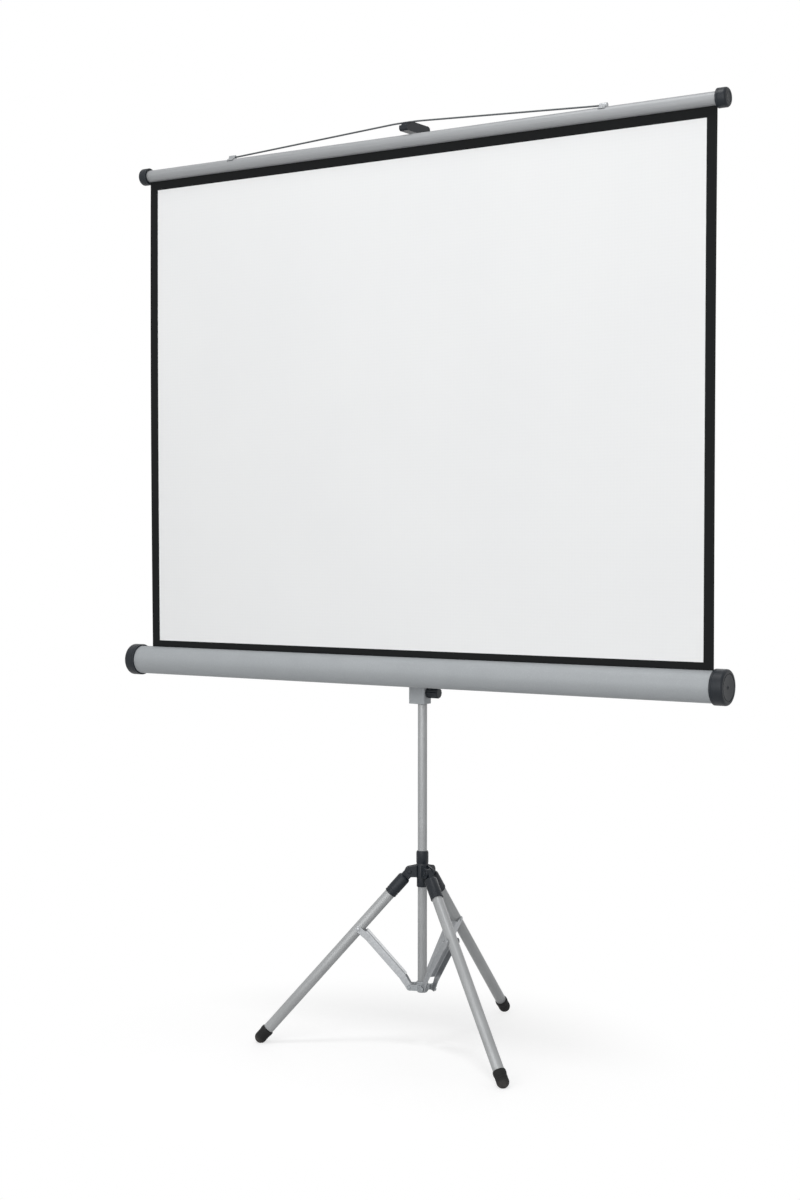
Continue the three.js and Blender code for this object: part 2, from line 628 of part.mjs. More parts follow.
// The wire bail: its ends turn in the sockets and its flat middle hangs in the notch of the arm
function addBail(stand) {
  const rise = BAIL_TOP_Z - BAIL_PIVOT_Z;
  const endX = BAIL_FOOT_X + 14;
  const footX = BAIL_FOOT_X - 6;
  const half = [
    [BAIL_FLAT_X, rise],
    [footX, 0],
    [endX, 0],
  ];
  const bends = [...half.map(([x, z]) => [-x, z]).reverse(), ...half];
  let wire = null;
  for (let i = 1; i < bends.length; i += 1) {
    const [x0, z0] = bends[i - 1];
    const [x1, z1] = bends[i];
    const tilt = THREE.MathUtils.radToDeg(Math.atan2(x1 - x0, z1 - z0));
    const straight = rod(WIRE_R, 0, Math.hypot(x1 - x0, z1 - z0), 8).rotate([0, tilt, 0]);
    const bend = toSolid(new THREE.SphereGeometry(WIRE_R, 8, 4)).translate([x0, 0, z0]);
    const placed = straight.translate([x0, 0, z0]);
    wire = wire === null ? placed : wire.add(placed).add(bend);
  }
  piece('bail_wire', wire, STEEL, frame(stand, 0, CASE_Y, BAIL_PIVOT_Z));
}

const model = new THREE.Group();
const stand = frame(model, MAST_X, MAST_Y, 0);
addMast(stand);
addMastHead(stand);
addHub(stand);
addCollar(stand);
for (const [which, azimuth] of Object.entries(LEG_AZIMUTHS)) addLeg(which, azimuth, stand);
addCarriage(stand);
addSwivel(stand);
addCase(stand);
addRoller(stand);
addBatten(stand);
addBail(stand);

export default model;
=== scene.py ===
# %% [markdown]
# A tripod projection screen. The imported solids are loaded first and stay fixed, as the frame that every
# visible piece is fitted to. Each piece below is modelled again with finer rounds, softened edges and its
# own surface, and takes the place of one solid. Everything is in metres, +Z is up and the screen faces -Y.

import math

import bmesh
import bpy
from mathutils import Matrix, Vector


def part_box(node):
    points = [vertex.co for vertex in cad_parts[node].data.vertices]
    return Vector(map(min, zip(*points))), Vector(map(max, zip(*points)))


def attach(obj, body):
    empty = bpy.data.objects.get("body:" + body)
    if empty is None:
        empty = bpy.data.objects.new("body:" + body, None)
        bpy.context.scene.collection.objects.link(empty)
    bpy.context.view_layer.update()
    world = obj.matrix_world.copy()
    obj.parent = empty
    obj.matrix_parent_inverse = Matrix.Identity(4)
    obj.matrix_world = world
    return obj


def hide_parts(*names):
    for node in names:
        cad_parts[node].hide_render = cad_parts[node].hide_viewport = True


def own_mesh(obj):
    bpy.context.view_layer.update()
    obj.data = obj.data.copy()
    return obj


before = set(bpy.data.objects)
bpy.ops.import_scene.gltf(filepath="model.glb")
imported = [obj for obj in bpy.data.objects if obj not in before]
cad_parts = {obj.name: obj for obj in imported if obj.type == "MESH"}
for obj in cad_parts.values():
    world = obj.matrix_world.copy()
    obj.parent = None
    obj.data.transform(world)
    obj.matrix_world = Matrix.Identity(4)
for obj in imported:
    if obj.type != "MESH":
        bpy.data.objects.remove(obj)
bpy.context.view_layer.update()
scene = bpy.context.scene

# %% [markdown]
# The photograph was taken from the front right, a little above the roller case, with a long lens. The
# place below comes from fitting a camera to the corners of the screen and to the three feet, and is measured
# from the foot of the mast. The picture is cropped off-centre, and the small shift repeats that.

# %% the camera
IMAGE_WIDTH, IMAGE_HEIGHT = 800, 1200
FOCAL_PIXELS = 1890
CENTRE_PIXEL = (386.6, 606.9)
SENSOR_MM = 36
CAMERA_FROM_MAST = Vector((2.4113, -3.7461, 1.2148))
TILT_DOWN, TURN_LEFT = 2.2, 33.86

mast_low, mast_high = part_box("mast_outer_tube")
MAST = Vector(((mast_low.x + mast_high.x) / 2, (mast_low.y + mast_high.y) / 2, 0))
lens = bpy.data.cameras.new("photo_camera")
lens.sensor_width = SENSOR_MM
lens.lens = FOCAL_PIXELS / IMAGE_HEIGHT * SENSOR_MM
lens.shift_x = (IMAGE_WIDTH / 2 - CENTRE_PIXEL[0]) / IMAGE_HEIGHT
lens.shift_y = (CENTRE_PIXEL[1] - IMAGE_HEIGHT / 2) / IMAGE_HEIGHT
camera = bpy.data.objects.new("photo_camera", lens)
camera.location = MAST + CAMERA_FROM_MAST
camera.rotation_euler = (math.radians(90 - TILT_DOWN), 0, math.radians(TURN_LEFT))
scene.collection.objects.link(camera)
scene.camera = camera
print("lens:", round(lens.lens, 1), "mm, mast axis:", [round(c, 4) for c in MAST])

# %% [markdown]
# Nodes are what a material or a world is made of. One small function adds a shader node by its kind, makes
# its settings and feeds its inputs. An input takes a number, another node, which stands for its first live
# output, or a colour. Colours are written as they look on a screen, in hex, and turned into the linear
# values that the renderer mixes.

# %% helpers for nodes and colours
def linear(hex_colour):
    channels = [int(hex_colour[i:i + 2], 16) / 255 for i in (1, 3, 5)]
    return [c / 12.92 if c <= 0.04045 else ((c + 0.055) / 1.055) ** 2.4 for c in channels] + [1.0]


def feed(node, inputs):
    for socket, value in inputs.items():
        if isinstance(value, bpy.types.Node):
            value = next(output for output in value.outputs if output.enabled)
        if isinstance(value, bpy.types.NodeSocket):
            node.id_data.links.new(value, node.inputs[socket])
        else:
            node.inputs[socket].default_value = linear(value) if isinstance(value, str) else value


def add(tree, kind, inputs=None, **settings):
    node = tree.nodes.new("ShaderNode" + kind)
    for name, value in settings.items():
        setattr(node, name, value)
    feed(node, inputs or {})
    return node


print("mid grey in linear light:", [round(c, 3) for c in linear("#808080")])

# %% [markdown]
# The picture has a plain white ground. The world is white where the camera or a reflection looks at it,
# and dimmer where it lights the object, so that the surroundings never wash out the colours.

# %% the white surroundings
AMBIENT = 0.42

scene.view_settings.view_transform = "Standard"
world = bpy.data.worlds.new("white_studio")
scene.world = world
world.use_nodes = True
sky_tree = world.node_tree
sky_tree.nodes.clear()


def seen_directly(tree):
    ray = add(tree, "LightPath")
    mirrored = add(tree, "Math", {0: ray.outputs["Is Glossy Ray"], 1: ray.outputs["Is Transmission Ray"]},
                   operation="MAXIMUM")
    return add(tree, "Math", {0: ray.outputs["Is Camera Ray"], 1: mirrored}, operation="MAXIMUM")


sky_level = add(sky_tree, "MapRange", {"Value": seen_directly(sky_tree), "To Min": AMBIENT, "To Max": 1.0})
sky = add(sky_tree, "Background", {"Color": "#FFFFFF", "Strength": sky_level})
add(sky_tree, "OutputWorld", {"Surface": sky})
print("surroundings light the object at", AMBIENT)

# %% [markdown]
# A big soft lamp stands well in front of the screen, a little to the right, and a weaker one further round
# on that side and lower. Their distance keeps the white cloth evenly lit from top to bottom, and their size
# gives broad, calm highlights. A smaller one overhead draws the pale shadows that run under each leg, and
# one behind keeps the reverse from going dark.

# %% the lamps
LAMP_AIM = Vector((0, 0, 1.1))


def soft_lamp(name, place, size, power):
    light = bpy.data.lights.new(name, "AREA")
    light.size = size
    light.energy = power
    lamp = bpy.data.objects.new(name, light)
    lamp.location = place
    lamp.rotation_euler = (LAMP_AIM - Vector(place)).to_track_quat("-Z", "Y").to_euler()
    scene.collection.objects.link(lamp)
    print(name, power, "W")


soft_lamp("key_lamp", (0.4, -5.0, 2.2), 4.0, 111)
soft_lamp("fill_lamp", (3.0, -4.6, 1.4), 3.6, 56)
soft_lamp("top_lamp", (-0.3, -1.2, 5.0), 0.9, 46)
soft_lamp("back_lamp", (-2.0, 4.8, 2.6), 3.8, 50)

# %% [markdown]
# The floor is a pale matte sheet. Light that falls on it shows the shadows round the feet, and a little glow
# of its own, seen only directly, lifts the lit part to white. Further out the seen floor fades into an even
# white glow, so that it has no edge against the white surroundings.

# %% the floor
FLOOR_HALF = 9.0
FLOOR_GLOW = 0.58
SHADOW_RADIUS, FADE_RADIUS = 0.3, 0.8
SHADOW_CENTRE = MAST + Vector((-0.08, -0.14, 0))

floor_mesh = bpy.data.meshes.new("studio_floor")
floor_mesh.from_pydata([(-FLOOR_HALF, -FLOOR_HALF, 0), (FLOOR_HALF, -FLOOR_HALF, 0),
                        (FLOOR_HALF, FLOOR_HALF, 0), (-FLOOR_HALF, FLOOR_HALF, 0)], [], [(0, 1, 2, 3)])
floor = bpy.data.objects.new("studio_floor", floor_mesh)
scene.collection.objects.link(floor)
floor_paint = bpy.data.materials.new("matte_floor_paint")
floor_paint.use_nodes = True
floor_tree = floor_paint.node_tree
floor_tree.nodes.clear()
seen = seen_directly(floor_tree)
matte = add(floor_tree, "BsdfDiffuse", {"Color": "#BCBCBC"})
glow_level = add(floor_tree, "Math", {0: seen, 1: FLOOR_GLOW}, operation="MULTIPLY")
glow = add(floor_tree, "Emission", {"Strength": glow_level})
lit = add(floor_tree, "AddShader", {0: matte, 1: glow})
place = add(floor_tree, "NewGeometry").outputs["Position"]
distance = add(floor_tree, "VectorMath", {0: place, 1: SHADOW_CENTRE}, operation="DISTANCE")
far = add(floor_tree, "MapRange", {"Value": distance.outputs["Value"], "From Min": SHADOW_RADIUS,
                                   "From Max": FADE_RADIUS}, interpolation_type="SMOOTHSTEP")
fade = add(floor_tree, "Math", {0: far, 1: seen}, operation="MULTIPLY")
even_white = add(floor_tree, "Emission", {"Strength": 1.0})
ground = add(floor_tree, "MixShader", {0: fade, 1: lit, 2: even_white})
add(floor_tree, "OutputMaterial", {"Surface": ground})
floor_mesh.materials.append(floor_paint)
print("floor half width:", FLOOR_HALF, "m")

# %% [markdown]
# Every finish starts the same way: a new material with one main shader, and the piece's own coordinates.
# These are in metres and stay with the piece when it moves, so a pattern of so many millimetres keeps its
# size. A pattern's scale is one divided by its size.

# %% a blank finish
MM = 0.001


def blank_finish(name, roughness, metallic=0.0, ior=None):
    finish = bpy.data.materials.new(name)
    finish.use_nodes = True
    tree = finish.node_tree
    shader = tree.nodes["Principled BSDF"]
    feed(shader, {"Roughness": roughness, "Metallic": metallic})
    if ior:
        feed(shader, {"IOR": ior})
    own = add(tree, "TexCoord").outputs["Object"]
    return finish, tree, shader, own


print("one millimetre pattern has scale", 1 / MM)

# %% [markdown]
# The roller case is a steel tube with a silver-grey polyester powder coat. The powder melts into a skin
# with a soft orange-peel ripple a few millimetres wide and holds fine metal flakes. To the eye that is a
# calm grey with a broad highlight and a faint sparkle. Flakes are about 0.1 mm and are drawn at 1.6 mm.

# %% silver powder coat
powder_coat, tree, shader, own = blank_finish("silver_polyester_powder_coat", 0.56, 0.1, 1.5)
flakes = add(tree, "TexVoronoi", {"Vector": own, "Scale": 1 / (1.6 * MM)})
cloudy = add(tree, "TexNoise", {"Vector": own, "Scale": 1 / (60 * MM), "Detail": 3.0})
base = add(tree, "Mix", {0: cloudy, 6: "#979B9E", 7: "#A0A4A7"}, data_type="RGBA")
flake_share = add(tree, "MapRange", {"Value": flakes.outputs["Color"], "From Min": 0.55, "To Max": 0.3})
coat = add(tree, "Mix", {0: flake_share, 6: base, 7: "#B4B8BB"}, data_type="RGBA")
peel = add(tree, "TexNoise", {"Vector": own, "Scale": 1 / (3 * MM), "Detail": 1.0})
ripple = add(tree, "Bump", {"Height": peel, "Strength": 0.12, "Distance": 0.2 * MM})
patchy = add(tree, "MapRange", {"Value": cloudy, "To Min": 0.5, "To Max": 0.62})
feed(shader, {"Base Color": coat, "Roughness": patchy, "Normal": ripple})
print("finish:", powder_coat.name)

# %% [markdown]
# Mast and legs are cold-drawn steel tube under a thin silver lacquer. The die leaves hairlines along the
# tube, which the lacquer softens. The eye sees a grey tube with lengthwise streaks and a dull shine. The
# hairlines are about 0.2 mm wide and are drawn at 1.2 mm, stretched along the tube's own Z axis.

# %% lacquered drawn steel
drawn_steel, tree, shader, own = blank_finish("lacquered_drawn_steel", 0.42, 0.2)
along = add(tree, "Mapping", {"Vector": own, "Scale": (1 / (1.2 * MM), 1 / (1.2 * MM), 1 / 0.3)})
hairlines = add(tree, "TexNoise", {"Vector": along, "Scale": 1.0, "Detail": 4.0})
handled = add(tree, "TexNoise", {"Vector": own, "Scale": 1 / (90 * MM), "Detail": 2.0})
streaks = add(tree, "Mix", {0: hairlines, 6: "#8D8F90", 7: "#AFB1B2"}, data_type="RGBA")
worn = add(tree, "MapRange", {"Value": handled, "From Min": 0.45, "From Max": 0.7, "To Max": 0.35})
tone = add(tree, "Mix", {0: worn, 6: streaks, 7: "#B5B7B8"}, data_type="RGBA")
dull = add(tree, "MapRange", {"Value": hairlines, "To Min": 0.34, "To Max": 0.52})
scored = add(tree, "Bump", {"Height": hairlines, "Strength": 0.1, "Distance": 0.1 * MM})
feed(shader, {"Base Color": tone, "Roughness": dull, "Normal": scored})
print("finish:", drawn_steel.name)

# %% [markdown]
# Braces, pins, sockets and pivot plate are pressed or bent steel with a bright zinc plating. The bath leaves
# slightly different tones in patches some millimetres across, and handling leaves fine dull specks. It
# looks colder and shinier than the lacquer. The patches are drawn at 5 mm, near their real size.

# %% zinc plating
zinc, tree, shader, own = blank_finish("bright_zinc_plated_steel", 0.34, 0.9)
patches = add(tree, "TexVoronoi", {"Vector": own, "Scale": 1 / (5 * MM)}, feature="SMOOTH_F1")
specks = add(tree, "TexNoise", {"Vector": own, "Scale": 1 / (1.5 * MM), "Detail": 3.0})
plated = add(tree, "Mix", {0: patches.outputs["Distance"], 6: "#A9ABAD", 7: "#9A9DA0"}, data_type="RGBA")
dulled = add(tree, "MapRange", {"Value": specks, "From Min": 0.3, "From Max": 0.7, "To Min": 0.26,
                                "To Max": 0.46})
pitted = add(tree, "Bump", {"Height": specks, "Strength": 0.08, "Distance": 0.1 * MM})
feed(shader, {"Base Color": plated, "Roughness": dulled, "Normal": pitted})
print("finish:", zinc.name)

# %% [markdown]
# The bail is hard-drawn spring wire, left in the grey phosphate that helps it through the drawing die. The
# eye sees a dark, slightly streaky grey with a soft shine on the rubbed parts. The streaks run along the
# wire, are about 0.1 mm wide and are drawn at 0.8 mm.

# %% phosphated spring wire
spring_wire, tree, shader, own = blank_finish("phosphated_spring_wire", 0.45, 0.6)
along = add(tree, "Mapping", {"Vector": own, "Scale": (1 / (40 * MM), 1 / (0.8 * MM), 1 / (0.8 * MM))})
drawn = add(tree, "TexNoise", {"Vector": along, "Scale": 1.0, "Detail": 3.0})
grey = add(tree, "Mix", {0: drawn, 6: "#3E4143", 7: "#63676A"}, data_type="RGBA")
rubbed_wire = add(tree, "MapRange", {"Value": drawn, "To Min": 0.55, "To Max": 0.35})
fine = add(tree, "Bump", {"Height": drawn, "Strength": 0.1, "Distance": 0.1 * MM})
feed(shader, {"Base Color": grey, "Roughness": rubbed_wire, "Normal": fine})
print("finish:", spring_wire.name)

# %% [markdown]
# The batten and the roller are extruded aluminium, brushed lightly along their length and anodised clear.
# Anodising keeps the brush lines and gives a pale, silky metal. The lines are about 0.1 mm and are drawn
# at 0.9 mm, stretched along the extrusion.

# %% brushed anodised aluminium
anodised, tree, shader, own = blank_finish("brushed_anodised_aluminium", 0.5, 0.35)
along = add(tree, "Mapping", {"Vector": own, "Scale": (1 / (0.9 * MM), 1 / (0.9 * MM), 1 / 0.15)})
brushed = add(tree, "TexNoise", {"Vector": along, "Scale": 1.0, "Detail": 5.0})
film = add(tree, "TexNoise", {"Vector": own, "Scale": 1 / (120 * MM), "Detail": 1.0})
lines = add(tree, "Mix", {0: brushed, 6: "#86888A", 7: "#A6A8AA"}, data_type="RGBA")
haze = add(tree, "MapRange", {"Value": film, "To Max": 0.25})
silky = add(tree, "Mix", {0: haze, 6: lines, 7: "#999B9D"}, data_type="RGBA")
sheen = add(tree, "MapRange", {"Value": brushed, "To Min": 0.44, "To Max": 0.62})
combed = add(tree, "Bump", {"Height": brushed, "Strength": 0.12, "Distance": 0.1 * MM})
feed(shader, {"Base Color": silky, "Roughness": sheen, "Normal": combed})
print("finish:", anodised.name)

# %% [markdown]
# End caps, clamps, collar, leg heads, mast head and knobs are injection-moulded black nylon. The mould is
# spark-eroded, so the plastic comes out with a fine even grain, and corners rub smooth and a shade lighter
# with use. The grain is about 0.15 mm and is drawn at 0.8 mm. A bevel node finds the corners for the rubbing.

# %% moulded nylon
nylon, tree, shader, own = blank_finish("spark_textured_black_nylon", 0.46, 0.0, 1.53)
grain = add(tree, "TexNoise", {"Vector": own, "Scale": 1 / (0.8 * MM), "Detail": 2.0})
flow = add(tree, "TexNoise", {"Vector": own, "Scale": 1 / (25 * MM), "Detail": 2.0})
body = add(tree, "Mix", {0: flow, 6: "#12171D", 7: "#1A2027"}, data_type="RGBA")
softened = add(tree, "Bevel", {"Radius": 1.5 * MM}, samples=4)
true_face = add(tree, "NewGeometry")
flatness = add(tree, "VectorMath", {0: softened, 1: true_face.outputs["Normal"]}, operation="DOT_PRODUCT")
corners = add(tree, "MapRange", {"Value": flatness.outputs["Value"], "From Min": 0.8, "From Max": 0.98,
                                 "To Min": 0.55, "To Max": 0.0})
rubbed = add(tree, "Math", {0: corners, 1: grain}, operation="MULTIPLY")
moulded = add(tree, "Mix", {0: rubbed, 6: body, 7: "#3E464E"}, data_type="RGBA")
satin = add(tree, "MapRange", {"Value": grain, "To Min": 0.36, "To Max": 0.56})
eroded = add(tree, "Bump", {"Height": grain, "Strength": 0.18, "Distance": 0.12 * MM})
feed(shader, {"Base Color": moulded, "Roughness": satin, "Normal": eroded, "Specular IOR Level": 0.28})
print("finish:", nylon.name)

# %% [markdown]
# The feet are moulded rubber. Rubber is nearly black and scatters what little it reflects, and its ball tip
# picks up pale floor dust. The pores are about 0.3 mm and are drawn at 1 mm. The dust follows the foot's own
# Z axis, which runs along the leg, so it stays on the tip when the tripod folds.

# %% moulded rubber
BALL_CENTRE = -538 * MM

rubber, tree, shader, own = blank_finish("moulded_black_rubber", 0.78, 0.0, 1.52)
pores = add(tree, "TexNoise", {"Vector": own, "Scale": 1 / MM, "Detail": 3.0})
smears = add(tree, "TexNoise", {"Vector": own, "Scale": 1 / (12 * MM), "Detail": 3.0})
along_leg = add(tree, "SeparateXYZ", {0: own}).outputs["Z"]
low = add(tree, "MapRange", {"Value": along_leg, "From Min": BALL_CENTRE - 13 * MM,
                             "From Max": BALL_CENTRE + 2 * MM, "To Min": 0.4, "To Max": 0.0})
dust = add(tree, "Math", {0: low, 1: smears}, operation="MULTIPLY")
black = add(tree, "Mix", {0: pores, 6: "#141414", 7: "#202020"}, data_type="RGBA")
dusty = add(tree, "Mix", {0: dust, 6: black, 7: "#8A8680"}, data_type="RGBA")
matt = add(tree, "MapRange", {"Value": pores, "To Min": 0.7, "To Max": 0.9})
porous = add(tree, "Bump", {"Height": pores, "Strength": 0.25, "Distance": 0.15 * MM})
feed(shader, {"Base Color": dusty, "Roughness": matt, "Normal": porous, "Specular IOR Level": 0.3})
print("finish:", rubber.name)

# %% [markdown]
# The screen is woven glass-fibre cloth with a matte white vinyl face. The face scatters light evenly to
# every side, which is its whole purpose, so it shows no highlight, only a very faint weave. Threads are
# about 0.5 mm apart and are drawn 7.85 mm apart, as two crossed sets of waves. A wave texture draws 20 / tau
# waves for each unit of its scale.

# %% matte white screen face
THREAD_DRAWN = 7.85 * MM
WAVES_PER_UNIT = 20 / math.tau


def weave(tree, own, unevenness):
    scale = 1 / (WAVES_PER_UNIT * THREAD_DRAWN)
    warp, weft = [add(tree, "TexWave", {"Vector": own, "Scale": scale, "Distortion": unevenness},
                      bands_direction=direction).outputs["Fac"] for direction in "XZ"]
    return add(tree, "Math", {0: warp, 1: weft}, operation="ADD")


white_face, tree, shader, own = blank_finish("matte_white_vinyl_on_glass_cloth", 0.94, 0.0, 1.5)
crossed = weave(tree, own, 0.4)
mottle = add(tree, "TexNoise", {"Vector": own, "Scale": 1 / 0.35, "Detail": 2.0})
vinyl = add(tree, "Mix", {0: mottle, 6: "#E6E7E8", 7: "#EBECEC"}, data_type="RGBA")
threads = add(tree, "MapRange", {"Value": crossed, "To Max": 0.1, "From Max": 2.0})
face = add(tree, "Mix", {0: threads, 6: vinyl, 7: "#DADBDC"}, data_type="RGBA")
woven = add(tree, "Bump", {"Height": crossed, "Strength": 0.06, "Distance": 0.1 * MM})
feed(shader, {"Base Color": face, "Normal": woven})
print("finish:", white_face.name)

# %% [markdown]
# A black band is printed round the picture area, to soak up stray light. Screen ink lies flat and dries
# nearly matte, with small density changes where the squeegee passed. The strokes are about 20 mm wide.

# %% black border ink
border_ink, tree, shader, own = blank_finish("matte_black_screen_ink", 0.85, 0.0, 1.45)
strokes = add(tree, "TexNoise", {"Vector": own, "Scale": 1 / (20 * MM), "Detail": 4.0})
printed = add(tree, "Mix", {0: strokes, 6: "#0C0D0E", 7: "#17191A"}, data_type="RGBA")
dried = add(tree, "MapRange", {"Value": strokes, "To Min": 0.72, "To Max": 0.88})
feed(shader, {"Base Color": printed, "Roughness": dried, "Specular IOR Level": 0.2})
print("finish:", border_ink.name)

# %% [markdown]
# The reverse has a charcoal vinyl coat, so that nothing shines through the picture. The coat is calendered
# between rollers and keeps the weave a little more clearly than the face does.

# %% charcoal backing
backing, tree, shader, own = blank_finish("calendered_charcoal_vinyl", 0.7, 0.0, 1.5)
crossed = weave(tree, own, 0.5)
rolled = add(tree, "TexNoise", {"Vector": own, "Scale": 1 / 0.2, "Detail": 3.0})
charcoal = add(tree, "Mix", {0: rolled, 6: "#2B2D2F", 7: "#393C3E"}, data_type="RGBA")
pressed_weave = add(tree, "Bump", {"Height": crossed, "Strength": 0.15, "Distance": 0.15 * MM})
feed(shader, {"Base Color": charcoal, "Normal": pressed_weave})
print("finish:", backing.name)

# %% [markdown]
# Most of the object is turned, drawn or extruded, so two kinds of solid make nearly all of it. One is spun
# round Z from a half outline of (radius, height). The other is a flat outline pushed along Z. Both are in
# millimetres, and a piece joins several of them and is then set in its place. Faces are made one by one,
# ring to ring, rather than with the extrude tool, so that every run gives the same mesh.

# %% turned and extruded solids
MERGE = 1e-4


def full_turn(sides):
    return [math.tau * i / sides for i in range(sides)]


def skin(solid, rings):
    for lower, upper in zip(rings, rings[1:]):
        for i in range(len(lower)):
            j = (i + 1) % len(lower)
            solid.faces.new((lower[i], lower[j], upper[j], upper[i]))


def outward(solid):
    bmesh.ops.recalc_face_normals(solid, faces=solid.faces)
    return solid


def turned(outline, sides=72):
    solid = bmesh.new()
    turns = full_turn(sides)
    rings = [[solid.verts.new((r * math.cos(a), r * math.sin(a), z)) for a in turns] for r, z in outline]
    skin(solid, rings + rings[:1])
    bmesh.ops.remove_doubles(solid, verts=solid.verts, dist=MERGE)
    return outward(solid)


def capped(solid, rings):
    skin(solid, rings)
    solid.faces.new(rings[0])
    solid.faces.new(rings[-1])
    return outward(solid)


def extruded(outline, low, high):
    solid = bmesh.new()
    return capped(solid, [[solid.verts.new((u, v, z)) for u, v in outline] for z in (low, high)])


print("a turned test ring has", len(turned([(9, 0), (10, 0), (10, 5), (9, 5)]).faces), "faces")

# %% [markdown]
# A few small helpers draw rounds in an outline, turn and shift a solid, and cut a part of it off level. A
# cut leaves a hole, which is filled again, so that every piece stays closed.

# %% rounds, moves and cuts
def arc(u, v, radius, start, end, steps):
    angles = [math.radians(start + (end - start) * i / steps) for i in range(steps + 1)]
    return [(u + radius * math.cos(a), v + radius * math.sin(a)) for a in angles]


def shift(x, y, z):
    return Matrix.Translation((x, y, z))


def rotated(degrees, axis):
    return Matrix.Rotation(math.radians(degrees), 4, axis)


def moved(solid, *steps):
    for step in steps:
        solid.transform(step)
    return solid


def cut_level(solid, point, kept_side):
    everything = solid.verts[:] + solid.edges[:] + solid.faces[:]
    bmesh.ops.bisect_plane(solid, geom=everything, plane_co=point, plane_no=kept_side, clear_inner=True)
    bmesh.ops.holes_fill(solid, edges=[e for e in solid.edges if e.is_boundary])
    return solid


print("a quarter round of 4 mm:", [(round(u, 2), round(v, 2)) for u, v in arc(0, 0, 4, 0, 90, 2)])

# %% [markdown]
# A piece is assembled from its solids, scaled to metres, shaded smooth with its real corners kept, and
# given a small bevel where it has corners. It is then set in its place, rides on the body it belongs to
# and takes the place of its solid, which is hidden.
# Places are measured from the mast's axis, in millimetres.

# %% assembling a piece
UPRIGHT = Matrix.Identity(4)
LAID_X = Matrix(((0, 0, 1, 0), (1, 0, 0, 0), (0, 1, 0, 0), (0, 0, 0, 1)))
LAID_Y = rotated(-90, "X")
STANDING_PLATE = rotated(90, "X")
CRISP = math.radians(35)


def spot(x, y, z, turn=UPRIGHT):
    return Matrix.Translation(MAST + Vector((x, y, z)) * MM) @ turn


def assemble(name, solids, finishes, body, stands_for, place=spot(0, 0, 0), bevel=0.0):
    joined = bmesh.new()
    for solid in solids:
        part = bpy.data.meshes.new(name)
        solid.to_mesh(part)
        solid.free()
        joined.from_mesh(part)
        bpy.data.meshes.remove(part)
    joined.transform(Matrix.Scale(MM, 4))
    mesh = bpy.data.meshes.new(name)
    joined.to_mesh(mesh)
    joined.free()
    for finish in finishes:
        mesh.materials.append(finish)
    mesh.shade_smooth()
    mesh.set_sharp_from_angle(angle=CRISP)
    item = bpy.data.objects.new(name, mesh)
    scene.collection.objects.link(item)
    item.matrix_world = place
    if bevel:
        edge = item.modifiers.new("softened_edges", "BEVEL")
        edge.width = bevel * MM
        edge.segments = 2
        edge.limit_method = "ANGLE"
        edge.angle_limit = CRISP
        edge.harden_normals = True
    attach(item, body)
    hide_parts(stands_for)
    print(name, len(mesh.polygons), "faces on", body)
    return item


print("a piece at the collar's height:", [round(c, 3) for c in spot(0, 0, 416).translation])

# %% [markdown]
# The mast is three steel tubes that slide in one another. Each is spun from its wall's outline, and its
# upper rim is rolled in a little, as a tube cutter leaves it.

# %% the three mast tubes
WALL = 1.2
OUTER_R, MIDDLE_R, INNER_R = 11, 9, 7


def tube_wall(radius, low, high):
    return [(radius - WALL, low), (radius - 0.3, low), (radius, low + 0.5), (radius, high - 0.7),
            (radius - 0.4, high), (radius - WALL, high)]


for stage, radius, body in (("outer", OUTER_R, "mast"), ("middle", MIDDLE_R, "mast_middle"),
                            ("inner", INNER_R, "mast_inner")):
    low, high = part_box(f"mast_{stage}_tube")
    shaft = turned(tube_wall(radius, low.z / MM, high.z / MM), 64)
    assemble(f"{stage}_mast_tube_drawn", [shaft], [drawn_steel], body, f"mast_{stage}_tube")

# %% [markdown]
# Every clamp on the mast is locked by a knob that a hand can turn. A knob is a round whose radius swells and
# shrinks as it goes round, with a domed end, on a plain spindle.

# %% knobs
KNOB_SIDES, SPINDLE_R = 96, 3


def lobed_grip(radius, length, lobes, depth):
    grip = bmesh.new()
    levels = [(0.86, 0.0), (0.96, 0.5), (1.0, 1.6), (1.0, length - 3.2), (0.97, length - 1.6),
              (0.9, length - 0.5), (0.8, length)]
    waist = [(a, radius - depth * (0.5 - 0.5 * math.cos(lobes * a))) for a in full_turn(KNOB_SIDES)]
    rings = [[grip.verts.new((share * r * math.cos(a), share * r * math.sin(a), z)) for a, r in waist]
             for share, z in levels]
    skin(grip, rings)
    grip.faces.new(rings[0])
    bmesh.ops.inset_region(grip, faces=[grip.faces.new(rings[-1])], thickness=radius * 0.25, depth=-0.8)
    return outward(grip)


def knob(grip, low):
    return [grip, turned([(0, low), (SPINDLE_R, low), (SPINDLE_R, 1), (0, 1)], 24)]


print("points round a knob:", KNOB_SIDES)

# %% [markdown]
# A nylon clamp sits on the end of each lower tube. It is a stepped ring with finger grooves and a boss at
# the back, which takes the knob. Pieces that slide or plug into one another have 0.3 mm of play.

# %% the mast clamps and their knobs
PLAY = 0.3
CLAMP_R, BOSS_BACK = 16, 24
OUTER_SHOULDER, MIDDLE_SHOULDER = 922, 1536


def clamp_ring(tube_radius, next_radius, bottom, shoulder, top):
    bore, upper_bore = tube_radius + PLAY, next_radius + PLAY
    return turned([(bore, bottom), (CLAMP_R - 1.5, bottom), (CLAMP_R, bottom + 2), (CLAMP_R, bottom + 7),
                   (CLAMP_R - 1, bottom + 8), (CLAMP_R - 1, bottom + 10), (CLAMP_R, bottom + 11),
                   (CLAMP_R, top - 5), (CLAMP_R - 1.2, top - 2), (CLAMP_R - 3.5, top), (upper_bore, top),
                   (upper_bore, shoulder + PLAY), (bore, shoulder + PLAY)])


